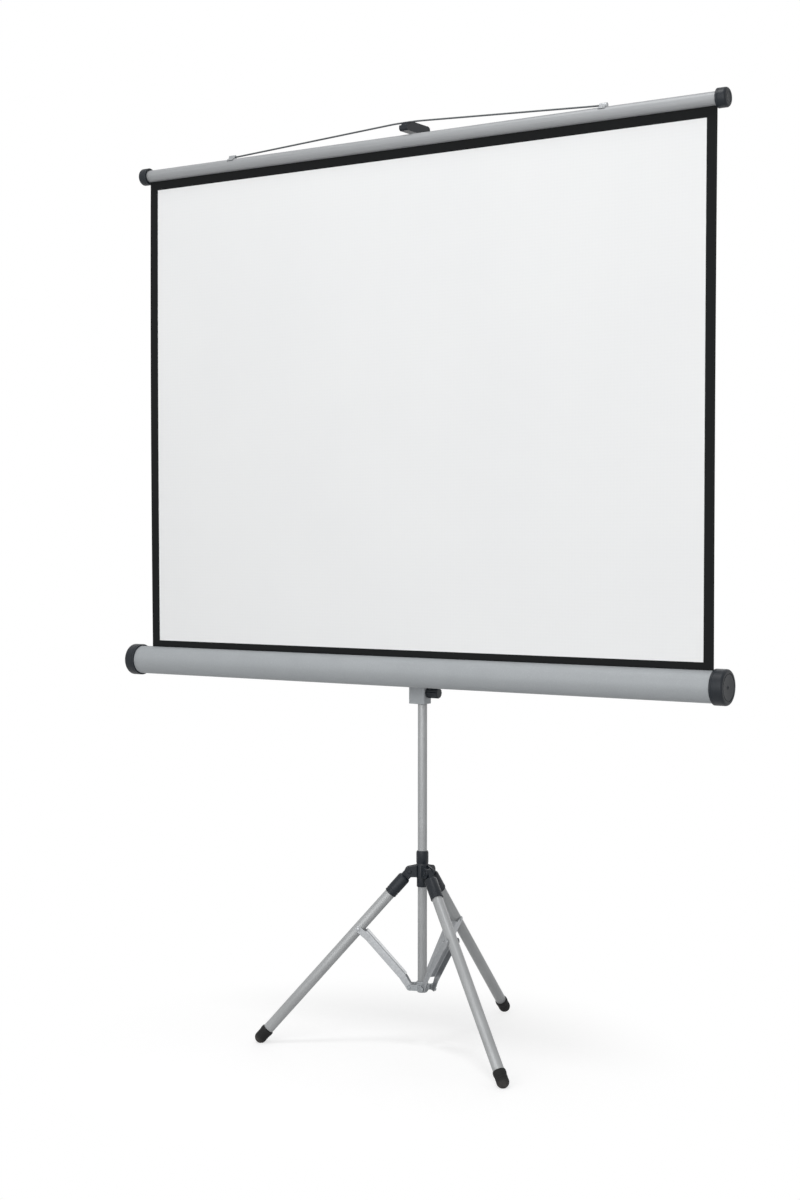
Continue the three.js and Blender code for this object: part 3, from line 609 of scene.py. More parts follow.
for stage, tube_radius, next_radius, shoulder, body in (
        ("outer", OUTER_R, MIDDLE_R, OUTER_SHOULDER, "mast"),
        ("middle", MIDDLE_R, INNER_R, MIDDLE_SHOULDER, "mast_middle")):
    low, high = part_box(f"{stage}_clamp")
    bottom, top = low.z / MM, high.z / MM
    boss_z = (shoulder + top) / 2
    boss_side = [(4, 13), (8, 13), (8, BOSS_BACK - 1), (7.4, BOSS_BACK), (4, BOSS_BACK)]
    boss = moved(turned(boss_side, 40), LAID_Y, shift(0, 0, boss_z))
    ring = clamp_ring(tube_radius, next_radius, bottom, shoulder, top)
    assemble(f"{stage}_clamp_ring", [ring, boss], [nylon], body, f"{stage}_clamp", bevel=0.4)
    assemble(f"{stage}_clamp_lobed_knob", knob(lobed_grip(12, 15, 6, 3.2), next_radius + 1 - BOSS_BACK),
             [nylon], f"{stage}_clamp_knob", f"{stage}_clamp_knob",
             spot(0, BOSS_BACK + PLAY, boss_z, LAID_Y))

# %% [markdown]
# The head of the mast is a black nylon arm that reaches forward over the batten. Near its tip a round notch
# holds the wire bail. Its side outline is pushed through its width and the edges are softened. A socket
# below it takes the top of the inner tube.

# %% the mast head
ARM_BOTTOM, ARM_TOP, ARM_FRONT, ARM_BACK, ARM_HALF, ARM_ROUND = 2143, 2166, -84.5, 14, 11, 8
NOTCH_Y, NOTCH_HALF, NOTCH_BOTTOM, LIP = -71, 2.8, 2160.2, 1.2
SOCKET_BOTTOM, SOCKET_ROOF, SOCKET_BORE = 2129, 2140 + PLAY, INNER_R + PLAY

arm_side = [(ARM_FRONT + 4, ARM_BOTTOM), (ARM_BACK, ARM_BOTTOM)]
arm_side += arc(ARM_BACK - ARM_ROUND, ARM_TOP - ARM_ROUND, ARM_ROUND, 0, 90, 10)
arm_side += [(NOTCH_Y + NOTCH_HALF, ARM_TOP)]
arm_side += arc(NOTCH_Y, NOTCH_BOTTOM + NOTCH_HALF, NOTCH_HALF, 0, -180, 14)
arm_side += [(NOTCH_Y - NOTCH_HALF - LIP, NOTCH_BOTTOM + NOTCH_HALF),
             (NOTCH_Y - NOTCH_HALF - LIP, NOTCH_BOTTOM - 2), (ARM_FRONT, NOTCH_BOTTOM - 5),
             (ARM_FRONT, ARM_BOTTOM + 4)]
arm = moved(extruded(arm_side, -ARM_HALF, ARM_HALF), LAID_X)
socket = turned([(SOCKET_BORE, SOCKET_BOTTOM), (11, SOCKET_BOTTOM), (12, SOCKET_BOTTOM + 1),
                 (12, ARM_BOTTOM + 1), (0, ARM_BOTTOM + 1), (0, SOCKET_ROOF), (SOCKET_BORE, SOCKET_ROOF)])
assemble("mast_head_hook_arm", [arm, socket], [nylon], "mast_inner", "mast_head", bevel=1.0)

# %% [markdown]
# The hub closes the foot of the mast, in the same grey coat as the case. Three pairs of ears stand out from
# a turned core, tied to it by three rounded bridges, and a short stud on each ear carries one brace. The
# braces stay between the ears when the tripod folds. Heights here are in millimetres above the floor.

# %% the bottom hub
AZIMUTHS = {"left": 210, "right": 330, "rear": 90}
PIVOT_R, HUB_Z, COLLAR_Z = 30, 141, 416
HUB_R, HUB_GROOVE_R, HUB_BOTTOM, HUB_FLOOR, HUB_TOP = 14, 13.4, 128, 134, 154
EAR_INSIDE, EAR_OUTSIDE, EAR_R, BRIDGE_HALF = 15.5, 19, 6, 6
MIRROR_Y = Matrix.Scale(-1, 4, (0, 1, 0))

ear_side = [(9, -7), (PIVOT_R, -EAR_R)] + arc(PIVOT_R, 0, EAR_R, -90, 90, 20) + [(9, 7)]
bridge_plan = [(10, -7)] + arc(15.5, -4, 3, -90, 0, 6) + arc(15.5, 4, 3, 0, 90, 6) + [(10, 7)]
stud_side = [(0, EAR_INSIDE - 1.6), (2.7, EAR_INSIDE - 1.6), (2.7, EAR_INSIDE + 0.5), (0, EAR_INSIDE + 0.5)]
stud_head = [(0, EAR_OUTSIDE - 0.5), (4, EAR_OUTSIDE - 0.5), (3.6, EAR_OUTSIDE + 0.5), (2.4, EAR_OUTSIDE + 1),
             (0, EAR_OUTSIDE + 1.2)]
bore = OUTER_R + PLAY
hub = [turned([(0, HUB_BOTTOM), (11, HUB_BOTTOM), (HUB_R, 132), (HUB_R, 148), (HUB_GROOVE_R, 148.6),
               (HUB_GROOVE_R, 150.2), (HUB_R, 150.8), (HUB_R, 153), (13, HUB_TOP), (bore, HUB_TOP),
               (bore, HUB_FLOOR), (0, HUB_FLOOR)])]
for azimuth in AZIMUTHS.values():
    bridge = extruded(bridge_plan, HUB_Z - BRIDGE_HALF, HUB_Z + BRIDGE_HALF)
    hub.append(moved(bridge, rotated(azimuth + 60, "Z")))
    for mirrored in (False, True):
        ear = moved(extruded(ear_side, EAR_INSIDE, EAR_OUTSIDE), STANDING_PLATE)
        studs = [moved(turned(outline, 24), STANDING_PLATE, shift(PIVOT_R, 0, 0))
                 for outline in (stud_side, stud_head)]
        for solid in [ear] + studs:
            if mirrored:
                bmesh.ops.reverse_faces(moved(solid, MIRROR_Y), faces=solid.faces)
            hub.append(moved(solid, shift(0, 0, HUB_Z), rotated(azimuth, "Z")))
assemble("hub_with_ears", hub, [powder_coat], "mast", "bottom_hub", bevel=0.5)

# %% [markdown]
# The collar slides on the outer tube and spreads the legs. It is a sleeve with three forked lugs, each of
# two rounded cheeks on a short root, and a boss for the knob that locks it.

# %% the sliding collar
COLLAR_BORE, COLLAR_R, COLLAR_BOTTOM, COLLAR_TOP = 11.4, 14.5, 380, 466
COLLAR_KNOB_AZIMUTH, COLLAR_KNOB_Z, COLLAR_BOSS_END = 123, 450, 22
LUG_ROOT, CHEEK_IN, CHEEK_OUT, CHEEK_R, ROOT_HALF = 12.6, 6.3, 10.3, 12.5, 10.2

sleeve = turned([(COLLAR_BORE, COLLAR_BOTTOM), (12.8, COLLAR_BOTTOM), (13.4, COLLAR_BOTTOM + 1), (13.4, 401),
                 (COLLAR_R, 402), (COLLAR_R, 434), (13.8, 435), (13.8, 437), (COLLAR_R, 438), (COLLAR_R, 461),
                 (14, 463.5), (12.6, COLLAR_TOP), (COLLAR_BORE, COLLAR_TOP)])
cheek_side = [(LUG_ROOT, -CHEEK_R), (PIVOT_R, -CHEEK_R)] + arc(PIVOT_R, 0, CHEEK_R, -90, 90, 24)
cheek_side += [(LUG_ROOT, 16.5)]
root_side = [(LUG_ROOT, -12.4), (18.4, -12.4), (18.4, 12.4), (LUG_ROOT, 12.4)]
collar = [sleeve]
for azimuth in AZIMUTHS.values():
    lug = [extruded(cheek_side, CHEEK_IN, CHEEK_OUT), extruded(cheek_side, -CHEEK_OUT, -CHEEK_IN),
           extruded(root_side, -ROOT_HALF, ROOT_HALF)]
    collar += [moved(part, STANDING_PLATE, shift(0, 0, COLLAR_Z), rotated(azimuth, "Z")) for part in lug]
boss_side = [(3.3, LUG_ROOT), (8, LUG_ROOT), (8, 21), (7.3, COLLAR_BOSS_END), (3.3, COLLAR_BOSS_END)]
knob_turn = rotated(COLLAR_KNOB_AZIMUTH, "Z")
boss = moved(turned(boss_side, 40), LAID_X, shift(0, 0, COLLAR_KNOB_Z), knob_turn)
assemble("collar_with_forks", collar + [boss], [nylon], "collar", "leg_collar", bevel=0.7)
knob_seat = knob_turn @ shift((COLLAR_BOSS_END + PLAY) * MM, 0, 0) @ LAID_X
assemble("collar_lobed_knob", knob(lobed_grip(11, 14, 5, 3.2), 12.4 - COLLAR_BOSS_END), [nylon],
         "collar_knob", "collar_knob", spot(0, 0, COLLAR_KNOB_Z, knob_seat))

# %% [markdown]
# Three equal legs hang from the collar. Each is made once in its own upright frame, with the hip pivot at
# the origin and the leg going down along -Z, and then leaned outwards. A black head with a flat tongue
# holds the tube. The zinc pin through the tongue has black push-on caps, and the rivet further down is bare.

# %% leg heads, tubes and pins
LEAN, LEG_R, TONGUE_R = 41.5, 13, 11
DROP = math.cos(math.radians(LEAN))
LEG_END = COLLAR_Z / DROP - 21
ARM_LENGTH = (COLLAR_Z - HUB_Z) / 2 / DROP


def pivot_place(azimuth, height, lean):
    pivot = shift(PIVOT_R * MM, 0, height * MM)
    return spot(0, 0, 0, rotated(azimuth, "Z") @ pivot @ rotated(lean, "Y"))


def domed_pin(radius, half, head_radius=5, head=1.8):
    end = [(radius, half), (head_radius, half), (head_radius, half + 0.5),
           (head_radius * 0.8, half + head * 0.8), (head_radius * 0.4, half + head), (0, half + head)]
    pin = turned([(r, -z) for r, z in reversed(end)] + end, 32)
    for face in pin.faces:
        face.material_index = int(abs(face.calc_center_median().z) > half - 0.1)
    return pin


def leg_head():
    tongue = [(-TONGUE_R, -24), (TONGUE_R, -24)] + arc(0, 0, TONGUE_R, 0, 180, 24)
    plate = moved(extruded(tongue, -6, 6), STANDING_PLATE)
    outer, ring, bore = LEG_R + 2.2, LEG_R + 1.5, LEG_R + PLAY
    cup = turned([(bore, -70), (outer - 0.6, -70), (outer, -69), (outer, -66), (ring, -65.4), (ring, -63.6),
                  (outer, -63), (outer, -60), (ring, -59.4), (ring, -57.6), (outer, -57), (outer, -21),
                  (outer - 1.4, -18), (outer - 4, -16), (0, -16), (0, -25), (bore, -25)])
    return [plate, cup]


for which, azimuth in AZIMUTHS.items():
    body, place = f"leg_{which}", pivot_place(azimuth, COLLAR_Z, -LEAN)
    assemble(f"head_of_{which}_leg", leg_head(), [nylon], body, f"leg_head_{which}", place, bevel=0.5)
    tube = turned(tube_wall(LEG_R, -LEG_END, -26), 64)
    assemble(f"tube_of_{which}_leg", [tube], [drawn_steel], body, f"leg_tube_{which}", place)
    assemble(f"hip_pin_{which}", [domed_pin(3, 10.6)], [zinc, nylon], "collar", f"collar_pin_{which}",
             pivot_place(azimuth, COLLAR_Z, 0) @ LAID_Y)
    assemble(f"knee_rivet_{which}", [domed_pin(2.9, 15.4)], [zinc, zinc], body, f"brace_rivet_{which}",
             place @ shift(0, 0, -ARM_LENGTH * MM) @ LAID_Y)

# %% [markdown]
# The rubber foot is a short thin sleeve with a rolled rim, two fine grooves and a ball tip. It is spun along
# the leg and then cut level with the floor, so it stands flat at the leg's lean.

# %% the rubber feet
FOOT_R, FOOT_SLEEVE, BALL_HEIGHT = 14.5, 27, 13.2
FOOT_CENTRE = -(COLLAR_Z - BALL_HEIGHT) / DROP
FOOT_TOP = FOOT_CENTRE + FOOT_SLEEVE


def grooved(radius, z):
    return [(radius, z), (radius - 0.6, z + 0.6), (radius - 0.6, z + 2.0), (radius, z + 2.6)]


def rubber_foot(place):
    bore, tube_end = LEG_R + PLAY, -LEG_END - PLAY
    outline = arc(0, FOOT_CENTRE, FOOT_R, -90, 0, 14) + grooved(FOOT_R, FOOT_CENTRE + 4)
    outline += grooved(FOOT_R, FOOT_CENTRE + 10)
    outline += [(FOOT_R, FOOT_TOP - 11), (FOOT_R + 0.6, FOOT_TOP - 9.8), (FOOT_R + 0.8, FOOT_TOP - 8.5),
                (FOOT_R + 0.8, FOOT_TOP - 4), (FOOT_R + 0.4, FOOT_TOP - 1.2), (FOOT_R - 0.4, FOOT_TOP),
                (bore, FOOT_TOP), (bore, tube_end), (0, tube_end)]
    inward = place.inverted()
    upward = inward.to_3x3() @ Vector((0, 0, 1))
    return outward(cut_level(turned(outline), (inward @ MAST) / MM, upward))


for which, azimuth in AZIMUTHS.items():
    place = pivot_place(azimuth, COLLAR_Z, -LEAN)
    assemble(f"rubber_foot_{which}", [rubber_foot(place)], [rubber], f"leg_{which}", f"foot_{which}", place,
             bevel=0.4)

# %% [markdown]
# A brace is a steel channel pressed from sheet, open away from the mast. The channel has rounded inner and
# outer bends, and both ends run out into rounded ears that take the pivots. It is pushed along its own
# length, from a section with the bends drawn in.

# %% the braces
BEND_AT, BEND_OUT, BEND_IN, FLANGE = LEG_R - 1, 3, 1.7, 3
BRACE_EAR_IN, BRACE_EAR_OUT, BRACE_EAR_R = 13.6, 15.1, 7


def channel_section():
    near, far = -BEND_AT, BEND_AT
    outside = [(FLANGE, far + BEND_OUT)] + arc(near, far, BEND_OUT, 90, 180, 6)
    outside += arc(near, near, BEND_OUT, 180, 270, 6) + [(FLANGE, near - BEND_OUT)]
    inside = [(FLANGE, near - BEND_IN)] + arc(near, near, BEND_IN, 270, 180, 6)
    return outside + inside + arc(near, far, BEND_IN, 180, 90, 6) + [(FLANGE, far + BEND_IN)]


def brace_ears(at_top):
    side = arc(0, 0, BRACE_EAR_R, 180, 360, 20) + [(FLANGE, 32), (-12.2, 32), (-12.2, 26)]
    ear = [(u, ARM_LENGTH - v) for u, v in side] if at_top else side
    return [moved(extruded(ear, low, high), STANDING_PLATE)
            for low, high in ((BRACE_EAR_IN, BRACE_EAR_OUT), (-BRACE_EAR_OUT, -BRACE_EAR_IN))]


for which, azimuth in AZIMUTHS.items():
    channel = extruded(channel_section(), 28, ARM_LENGTH - 16)
    assemble(f"pressed_brace_{which}", [channel] + brace_ears(False) + brace_ears(True), [zinc],
             f"brace_{which}", f"brace_{which}", pivot_place(azimuth, HUB_Z, LEAN), bevel=0.25)

# %% [markdown]
# The carriage's block has rounded upright corners and a round bore. Cutting a bore with a boolean would
# leave long thin faces, so outline and bore are walked round together instead, each outline point paired
# with the bore point in the same direction.

# %% a bored block
def bored(outline, radius, low, high, spacing=3):
    path = []
    for (u, v), (u2, v2) in zip(outline, outline[1:] + outline[:1]):
        steps = max(1, round(math.hypot(u2 - u, v2 - v) / spacing))
        path += [(u + (u2 - u) * i / steps, v + (v2 - v) * i / steps) for i in range(steps)]
    hole = [(u * radius / math.hypot(u, v), v * radius / math.hypot(u, v)) for u, v in path]
    solid = bmesh.new()
    loops = [[solid.verts.new((u, v, z)) for u, v in ring]
             for ring, z in ((path, low), (path, high), (hole, high), (hole, low))]
    skin(solid, loops + loops[:1])
    return outward(solid)


print("a bored test block has", len(bored([(9, 9), (-9, 9), (-9, -9), (9, -9)], 5, 0, 4).faces), "faces")

# %% [markdown]
# The carriage slides on the mast and carries the roller case. It is a coated block lined with nylon, with
# two screws at the back, and a fluted knob on its right side locks it.

# %% the carriage
BLOCK_LEFT, BLOCK_RIGHT, BLOCK_HALF, BLOCK_ROUND, BLOCK_BORE = -29, 15, 17, 5, 13.1
BLOCK_BOTTOM, BLOCK_TOP, CARRIAGE_KNOB_Z = 815, 898, 842
LINER_IN, LINER_OUT = 11.4, 12.8

left, right, depth = BLOCK_LEFT + BLOCK_ROUND, BLOCK_RIGHT - BLOCK_ROUND, BLOCK_HALF - BLOCK_ROUND
plan = []
for u, v, start in ((right, depth, 0), (left, depth, 90), (left, -depth, 180), (right, -depth, 270)):
    plan += arc(u, v, BLOCK_ROUND, start, start + 90, 8)
block = bored(plan, BLOCK_BORE, BLOCK_BOTTOM, BLOCK_TOP)
screw = [(0, 16.6), (4.2, 16.6), (4.0, 17.9), (2.6, 18.7), (0, 18.9)]
screws = [moved(turned(screw, 32), LAID_Y, shift(-18, 0, z)) for z in (830, 883)]
assemble("carriage_coated_block", [block] + screws, [powder_coat], "carriage", "carriage_bracket", bevel=1.2)
liner = turned([(LINER_IN, BLOCK_BOTTOM), (LINER_OUT, BLOCK_BOTTOM), (LINER_OUT, BLOCK_TOP),
                (LINER_IN, BLOCK_TOP)])
assemble("carriage_nylon_liner", [liner], [nylon], "carriage", "carriage_liner")
assemble("carriage_fluted_knob", knob(lobed_grip(13, 32, 12, 1.6), 12.2 - BLOCK_RIGHT), [nylon],
         "carriage_knob", "carriage_knob", spot(BLOCK_RIGHT + PLAY, 0, CARRIAGE_KNOB_Z, LAID_X))

# %% [markdown]
# Between carriage and roller case sits a pivot: a zinc plate with its stud on the carriage, a nylon washer,
# and a curved saddle that is riveted to the case. All are turned, apart from the saddle, which is a band of
# the case's own curve pushed along X.

# %% the pivot and the saddle
CASE_X, CASE_Y, CASE_Z, CASE_R = -15, -71, 894, 35
SWIVEL_Z, SWIVEL_BORE = 878, 5.3
SADDLE_HALF, SADDLE_TURN, SADDLE_R = 62, 56, CASE_R + 4

swivel_place = spot(0, 0, SWIVEL_Z, LAID_Y)
pivot = turned([(0, -33), (4.5, -33), (5, -32.5), (5, -22), (18, -22), (19, -21), (19, -17.3), (0, -17.3)])
assemble("pivot_plate_and_stud", [pivot], [zinc], "carriage", "swivel_plate", swivel_place, bevel=0.4)
washer = turned([(SWIVEL_BORE, -27), (15.5, -27), (16, -26.5), (16, -22.8), (15.5, -22.3),
                 (SWIVEL_BORE, -22.3)])
assemble("pivot_nylon_washer", [washer], [nylon], "carriage", "swivel_washer", swivel_place)
band_section = arc(0, 0, SADDLE_R, -SADDLE_TURN, SADDLE_TURN, 40)
band_section += arc(0, 0, CASE_R + PLAY, SADDLE_TURN, -SADDLE_TURN, 40)
band = moved(extruded(band_section, -SADDLE_HALF, SADDLE_HALF), LAID_X, shift(0, CASE_Y, CASE_Z))
boss = turned([(SWIVEL_BORE, -36), (16, -36), (16, -28.3), (15, -27.3), (SWIVEL_BORE, -27.3)], 56)
moved(boss, LAID_Y, shift(0, 0, SWIVEL_Z))
rivet = [(0, 38.6), (4, 38.6), (3.8, 39.6), (2.6, 40.4), (0, 40.7)]
rivets = [moved(turned(rivet, 28), LAID_Y, rotated(tilt, "X"), shift(x, CASE_Y, CASE_Z))
          for x in (-50, 50) for tilt in (-32, 32)]
assemble("riveted_case_saddle", [band, boss] + rivets, [powder_coat], "case", "case_saddle", bevel=0.6)

# %% [markdown]
# The roller case is a long coated tube with a slot along its top for the cloth. The slot's edges are turned
# inwards, so that the cloth never rubs on a raw edge. The section is drawn once and pushed along X.

# %% the roller case tube
CASE_HALF, CASE_WALL, SLOT_HALF, CASE_LIP = 823, 1.5, 4, 5
TUBE_HALF = CASE_HALF - 13


def slotted_section(radius, wall, slot_half, facing, lip):
    outer_turn = math.degrees(math.asin(slot_half / radius))
    inner_turn = math.degrees(math.asin((slot_half + wall) / (radius - wall)))
    section = arc(0, 0, radius, outer_turn, 360 - outer_turn, 120)
    section += [(radius - lip, -slot_half), (radius - lip, -slot_half - wall)]
    section += arc(0, 0, radius - wall, 360 - inner_turn, inner_turn, 120)
    section += [(radius - lip, slot_half + wall), (radius - lip, slot_half)]
    turn = math.radians(facing)
    c, s = math.cos(turn), math.sin(turn)
    return [(u * c - v * s, u * s + v * c) for u, v in section]


case_section = slotted_section(CASE_R, CASE_WALL, SLOT_HALF, 90, CASE_LIP)
assemble("slotted_roller_case", [extruded(case_section, -TUBE_HALF, TUBE_HALF)], [powder_coat], "case",
         "case_tube", spot(CASE_X, CASE_Y, CASE_Z, LAID_X), bevel=0.35)

# %% [markdown]
# Moulded caps close both ends of the case. Each is a cup with a well rounded edge, a ring groove and a
# slightly dished face with a screw in the middle. The batten's caps are the same design, smaller, so one
# outline serves both. The left cap is the right one turned round.

# %% the end caps
CAP_R, CAP_EDGE = 39, 6
ENDS = {"left": rotated(180, "Z"), "right": UPRIGHT}


def cap_outline(outer, bore, end, length, floor, dish):
    rim = end - length
    outline = [(0, floor), (bore, floor), (bore, rim), (outer - 0.8, rim), (outer, rim + 0.8),
               (outer, rim + 5), (outer - 0.7, rim + 5.6), (outer - 0.7, rim + 6.8), (outer, rim + 7.4)]
    outline += arc(outer - CAP_EDGE, end - CAP_EDGE, CAP_EDGE, 0, 90, 10)
    groove = outer - CAP_EDGE - 2.5
    outline += [(groove, end), (groove - 0.5, end - dish), (groove - 2.2, end - dish),
                (groove - 2.8, end - 0.2), (groove * 0.35, end - dish), (0, end - dish)]
    return outline


screw = [(0, -2), (4.5, -2), (4.5, -0.9), (3.4, -0.2), (1.6, -0.1), (1.4, -1.1), (0, -1.1)]
for which, turn in ENDS.items():
    cap = turned(cap_outline(CAP_R, CASE_R + PLAY, CASE_HALF, 30, CASE_HALF - 12, 1.2), 96)
    screw_head = turned([(r, CASE_HALF + z) for r, z in screw], 32)
    assemble(f"roller_case_cap_{which}", [cap, screw_head], [nylon], "case", f"case_cap_{which}",
             spot(CASE_X, CASE_Y, CASE_Z, turn @ LAID_X))

# %% [markdown]
# Inside the case, two zinc plates hold the roller on its end plugs. They are seen only through the slot or
# when the part is taken apart, so they stay simple. The case sits a little off the mast to the left, so the
# left plug reaches further than the right one.

# %% the roller and what holds it
ROLLER_Y, ROLLER_R, CLOTH_HALF = -57, 12, 774
PLATE_R, PLATE_IN, PLATE_OUT, PLATE_TOP = 33, CASE_HALF - 28, CASE_HALF - 24, 27
PLUG_R, AXLE_R = 10.5, 4

roller_place = spot(0, ROLLER_Y, CASE_Z, LAID_X)
for which, side in (("left", -1), ("right", 1)):
    plate = turned([(0, PLATE_IN), (PLATE_R, PLATE_IN), (PLATE_R, PLATE_OUT), (0, PLATE_OUT)], 64)
    cut_level(plate, (0, PLATE_TOP, 0), (0, -1, 0))
    assemble(f"roller_end_plate_{which}", [moved(plate, LAID_X, ENDS[which])], [zinc], "case",
             f"roller_bracket_{which}", spot(CASE_X, CASE_Y, CASE_Z), bevel=0.3)
    reach = CASE_HALF - 20 + side * CASE_X
    plug = turned([(0, CLOTH_HALF - 30), (PLUG_R, CLOTH_HALF - 30), (PLUG_R, CLOTH_HALF + PLAY),
                   (ROLLER_R, CLOTH_HALF + PLAY), (ROLLER_R, CLOTH_HALF + 2.4), (11.4, CLOTH_HALF + 3),
                   (AXLE_R, CLOTH_HALF + 3), (AXLE_R, reach - 0.6), (3.4, reach), (0, reach)], 40)
    assemble(f"roller_end_plug_{which}", [plug], [nylon], "roller", f"roller_plug_{which}",
             spot(0, ROLLER_Y, CASE_Z, ENDS[which] @ LAID_X))
core = turned(tube_wall(ROLLER_R, -CLOTH_HALF, CLOTH_HALF), 56)
assemble("roller_core_tube", [core], [anodised], "roller", "roller_tube", roller_place)

# %% [markdown]
# The cloth that is still on the roller is a real winding: a strip that goes round the tube a little more
# than twice, each turn lying on the last. The spiral's two sides are drawn as one outline and pushed along
# the roller.

# %% the wound cloth
CLOTH = 0.45
TURNS, FIRST_TURN, TURN_RISE = 2.4, 12.35, 0.48
STEPS = 150
WOUND_HALF = CLOTH_HALF - 1

shares = [TURNS * i / STEPS for i in range(STEPS + 1)]
spiral = [(FIRST_TURN + TURN_RISE * share, math.tau * share) for share in shares]
start = math.pi - math.tau * TURNS
inside = [(r * math.cos(start + a), r * math.sin(start + a)) for r, a in spiral]
outside = [((r + CLOTH) * math.cos(start + a), (r + CLOTH) * math.sin(start + a)) for r, a in spiral]
winding = extruded(inside + outside[::-1], -WOUND_HALF, WOUND_HALF)
wound = assemble("wound_screen_cloth", [winding], [white_face], "roller", "fabric_roll", roller_place)

# %% [markdown]
# The screen cloth is stretched between the slot of the case and the batten. Real cloth of this kind hangs
# almost flat, with a slight curl along its free sides and a very shallow wave across. A grid is drawn with
# lines along the printed border, and each of its points gets its depth from the curl and the wave.

# %% the lie of the cloth
PICTURE_HALF, PICTURE_BOTTOM, PICTURE_TOP = 750, 945, 2083
CLOTH_BOTTOM, CLOTH_TOP, CLOTH_Y, SLOT_Z, HEM_Z = 896, 2114, -71.4, 929, 2104
SIDE_CURL, CURL_REACH = 2.4, 130
WAVE, LONG_WAVE, SHORT_WAVE, WAVE_SLANT = 0.7, 95, 41, 380


def between(low, high, count):
    return [low + (high - low) * i / count for i in range(count + 1)]


def cloth_depth(x, z):
    share = min(1.0, max(0.0, (z - PICTURE_BOTTOM) / (PICTURE_TOP - PICTURE_BOTTOM)))
    slack = math.sin(math.pi * share) ** 0.8
    curl = SIDE_CURL * max(0.0, (abs(x) - CLOTH_HALF + CURL_REACH) / CURL_REACH) ** 2
    wave = WAVE * math.sin(x / LONG_WAVE + 0.6) + 0.5 * WAVE * math.sin(x / SHORT_WAVE + z / WAVE_SLANT)
    return CLOTH_Y + slack * (wave - curl)


columns = between(-CLOTH_HALF, -PICTURE_HALF, 2) + between(-PICTURE_HALF, PICTURE_HALF, 60)[1:]
columns += between(PICTURE_HALF, CLOTH_HALF, 2)[1:]
rows = [CLOTH_BOTTOM, SLOT_Z] + between(PICTURE_BOTTOM, PICTURE_TOP, 44) + [HEM_Z, CLOTH_TOP]
print("cloth grid:", len(columns), "by", len(rows), "points")

# %% [markdown]
# Ink and white face are separate faces of the front grid, and a second grid behind it is the backing. The
# rims between the two are inked.

# %% the screen cloth
FACE, INK, BACK = 0, 1, 2

cloth = bmesh.new()
front, back = [[[cloth.verts.new((x, cloth_depth(x, z) + offset, z)) for x in columns] for z in rows]
               for offset in (-CLOTH / 2, CLOTH / 2)]
for k in range(len(rows) - 1):
    for i in range(len(columns) - 1):
        inside_picture = abs(columns[i] + columns[i + 1]) / 2 < PICTURE_HALF
        inside_picture = inside_picture and PICTURE_BOTTOM < (rows[k] + rows[k + 1]) / 2 < PICTURE_TOP
        near = cloth.faces.new((front[k][i], front[k][i + 1], front[k + 1][i + 1], front[k + 1][i]))
        near.material_index = FACE if inside_picture else INK
        far = cloth.faces.new((back[k][i], back[k + 1][i], back[k + 1][i + 1], back[k][i + 1]))
        far.material_index = BACK
rims = [(front[0], back[0]), (back[-1], front[-1])]
rims += [([r[-1] for r in front], [r[-1] for r in back]), ([r[0] for r in back], [r[0] for r in front])]
for near, far in rims:
    for i in range(len(near) - 1):
        cloth.faces.new((near[i], far[i], far[i + 1], near[i + 1])).material_index = INK
screen = assemble("stretched_screen_cloth", [cloth], [white_face, border_ink, backing], "case",
                  "screen_fabric")
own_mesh(screen)

# %% [markdown]
# The batten is a slim extruded tube with a slot below. The cloth's top hem goes in through the slot and is
# held by a thin rod inside.

# %% the batten
BATTEN_Z, BATTEN_R, BATTEN_HALF, BATTEN_CAP_R = 2120, 15, 799, 21
BATTEN_TUBE_HALF, HEM_HALF, HEM_R = BATTEN_HALF - 11, BATTEN_HALF - 40, 4

batten = extruded(slotted_section(BATTEN_R, WALL, 2, -90, 3), -BATTEN_TUBE_HALF, BATTEN_TUBE_HALF)
batten_place = spot(0, CASE_Y, BATTEN_Z, LAID_X)
assemble("slotted_batten", [batten], [anodised], "batten", "batten_tube", batten_place, bevel=0.25)
hem = turned([(0, -HEM_HALF), (HEM_R - 0.5, -HEM_HALF), (HEM_R, 1 - HEM_HALF), (HEM_R, HEM_HALF - 1),
              (HEM_R - 0.5, HEM_HALF), (0, HEM_HALF)], 32)
assemble("hem_holding_rod", [hem], [zinc], "batten", "hem_rod", batten_place)
for which, turn in ENDS.items():
    cap = turned(cap_outline(BATTEN_CAP_R, BATTEN_R + PLAY, BATTEN_HALF, 24, BATTEN_HALF - 10, 0.9), 72)
    assemble(f"moulded_batten_cap_{which}", [cap], [nylon], "batten", f"batten_cap_{which}",
             spot(0, CASE_Y, BATTEN_Z, turn @ LAID_X))

# %% [markdown]
# Two small sockets are riveted to the top of the batten and hold the ends of the wire bail. A socket is a
# rounded block with a strap that fits the batten's curve.

# %% the bail sockets
SOCKET_IN, SOCKET_OUT, SOCKET_R, PIVOT_RISE = 500, 518, 5, 19
STRAP_START, STRAP_END, STRAP_R = 38, 142, BATTEN_R + 2.7

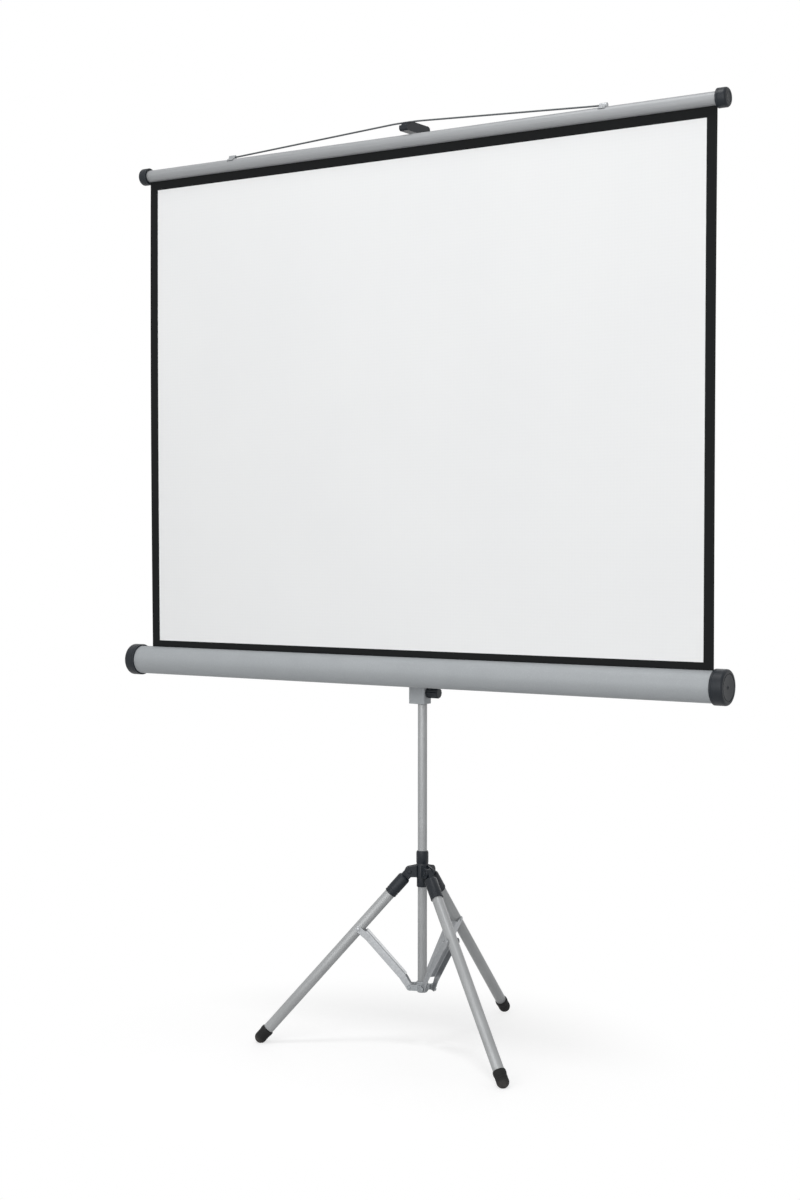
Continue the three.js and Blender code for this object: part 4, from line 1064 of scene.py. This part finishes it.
block_side = [(-SOCKET_R, 13.8), (SOCKET_R, 13.8)] + arc(0, PIVOT_RISE, SOCKET_R, 0, 180, 20)
strap_side = arc(0, 0, STRAP_R, STRAP_START, STRAP_END, 24)
strap_side += arc(0, 0, BATTEN_R + PLAY, STRAP_END, STRAP_START, 24)
nail = [(0, 17), (2.2, 17), (1.9, 18.2), (0, 18.7)]
for which, turn in ENDS.items():
    block = extruded(block_side, SOCKET_IN, SOCKET_OUT)
    strap = extruded(strap_side, SOCKET_IN + 0.2, SOCKET_OUT - 0.2)
    nails = [moved(turned(nail, 24), rotated(90, "Y"), shift(0, 0, (SOCKET_IN + SOCKET_OUT) / 2),
                   rotated(90 + tilt, "Z")) for tilt in (-33, 33)]
    assemble(f"riveted_bail_socket_{which}", [block, strap] + nails, [zinc], "batten",
             f"bail_socket_{which}", spot(0, CASE_Y, BATTEN_Z, turn @ LAID_X), bevel=0.4)

# %% [markdown]
# Wire is bent over a former, so a bend is always a short curve and never a corner. One function rounds the
# corners of a path, and another carries a round section along it. A curve object with a bevel would do the
# same, but a mesh can have its cut ends softened like every other piece.

# %% bending a wire
def rounded_path(corners, reach, steps=6):
    path = [Vector(corners[0])]
    for before, corner, after in zip(corners, corners[1:], corners[2:]):
        before, corner, after = Vector(before), Vector(corner), Vector(after)
        a = corner + (before - corner).normalized() * min(reach, (before - corner).length / 2)
        b = corner + (after - corner).normalized() * min(reach, (after - corner).length / 2)
        shares = [i / steps for i in range(steps + 1)]
        path += [a * (1 - t) ** 2 + corner * 2 * t * (1 - t) + b * t ** 2 for t in shares]
    return path + [Vector(corners[-1])]


def swept_wire(path, radius, sides=20):
    wire = bmesh.new()
    across = Vector((0, 1, 0))
    rings = []
    for i, point in enumerate(path):
        ahead = (path[min(i + 1, len(path) - 1)] - path[max(i - 1, 0)]).normalized()
        up = ahead.cross(across)
        ring = [point + radius * (math.cos(a) * across + math.sin(a) * up) for a in full_turn(sides)]
        rings.append([wire.verts.new(place) for place in ring])
    return capped(wire, rings)


print("points round one bend:", len(rounded_path([(0, 0, 0), (50, 0, 0), (50, 0, 50)], 12)) - 2)

# %% [markdown]
# The bail is one piece of spring wire. It leaves the sockets level, rises in two long straight runs and is
# flat in the middle, where it hangs in the notch.

# %% the wire bail
WIRE_R, BEND, BAIL_RISE = 2, 12, 24
WIRE_END, FIRST_BEND, FLAT_HALF = 514, 494, 30

corners = [(-WIRE_END, 0, 0), (-FIRST_BEND, 0, 0), (-FLAT_HALF, 0, BAIL_RISE), (FLAT_HALF, 0, BAIL_RISE),
           (FIRST_BEND, 0, 0), (WIRE_END, 0, 0)]
bail = swept_wire(rounded_path(corners, BEND), WIRE_R)
assemble("bent_wire_bail", [bail], [spring_wire], "bail", "bail_wire",
         spot(0, CASE_Y, BATTEN_Z + PIVOT_RISE), bevel=0.3)
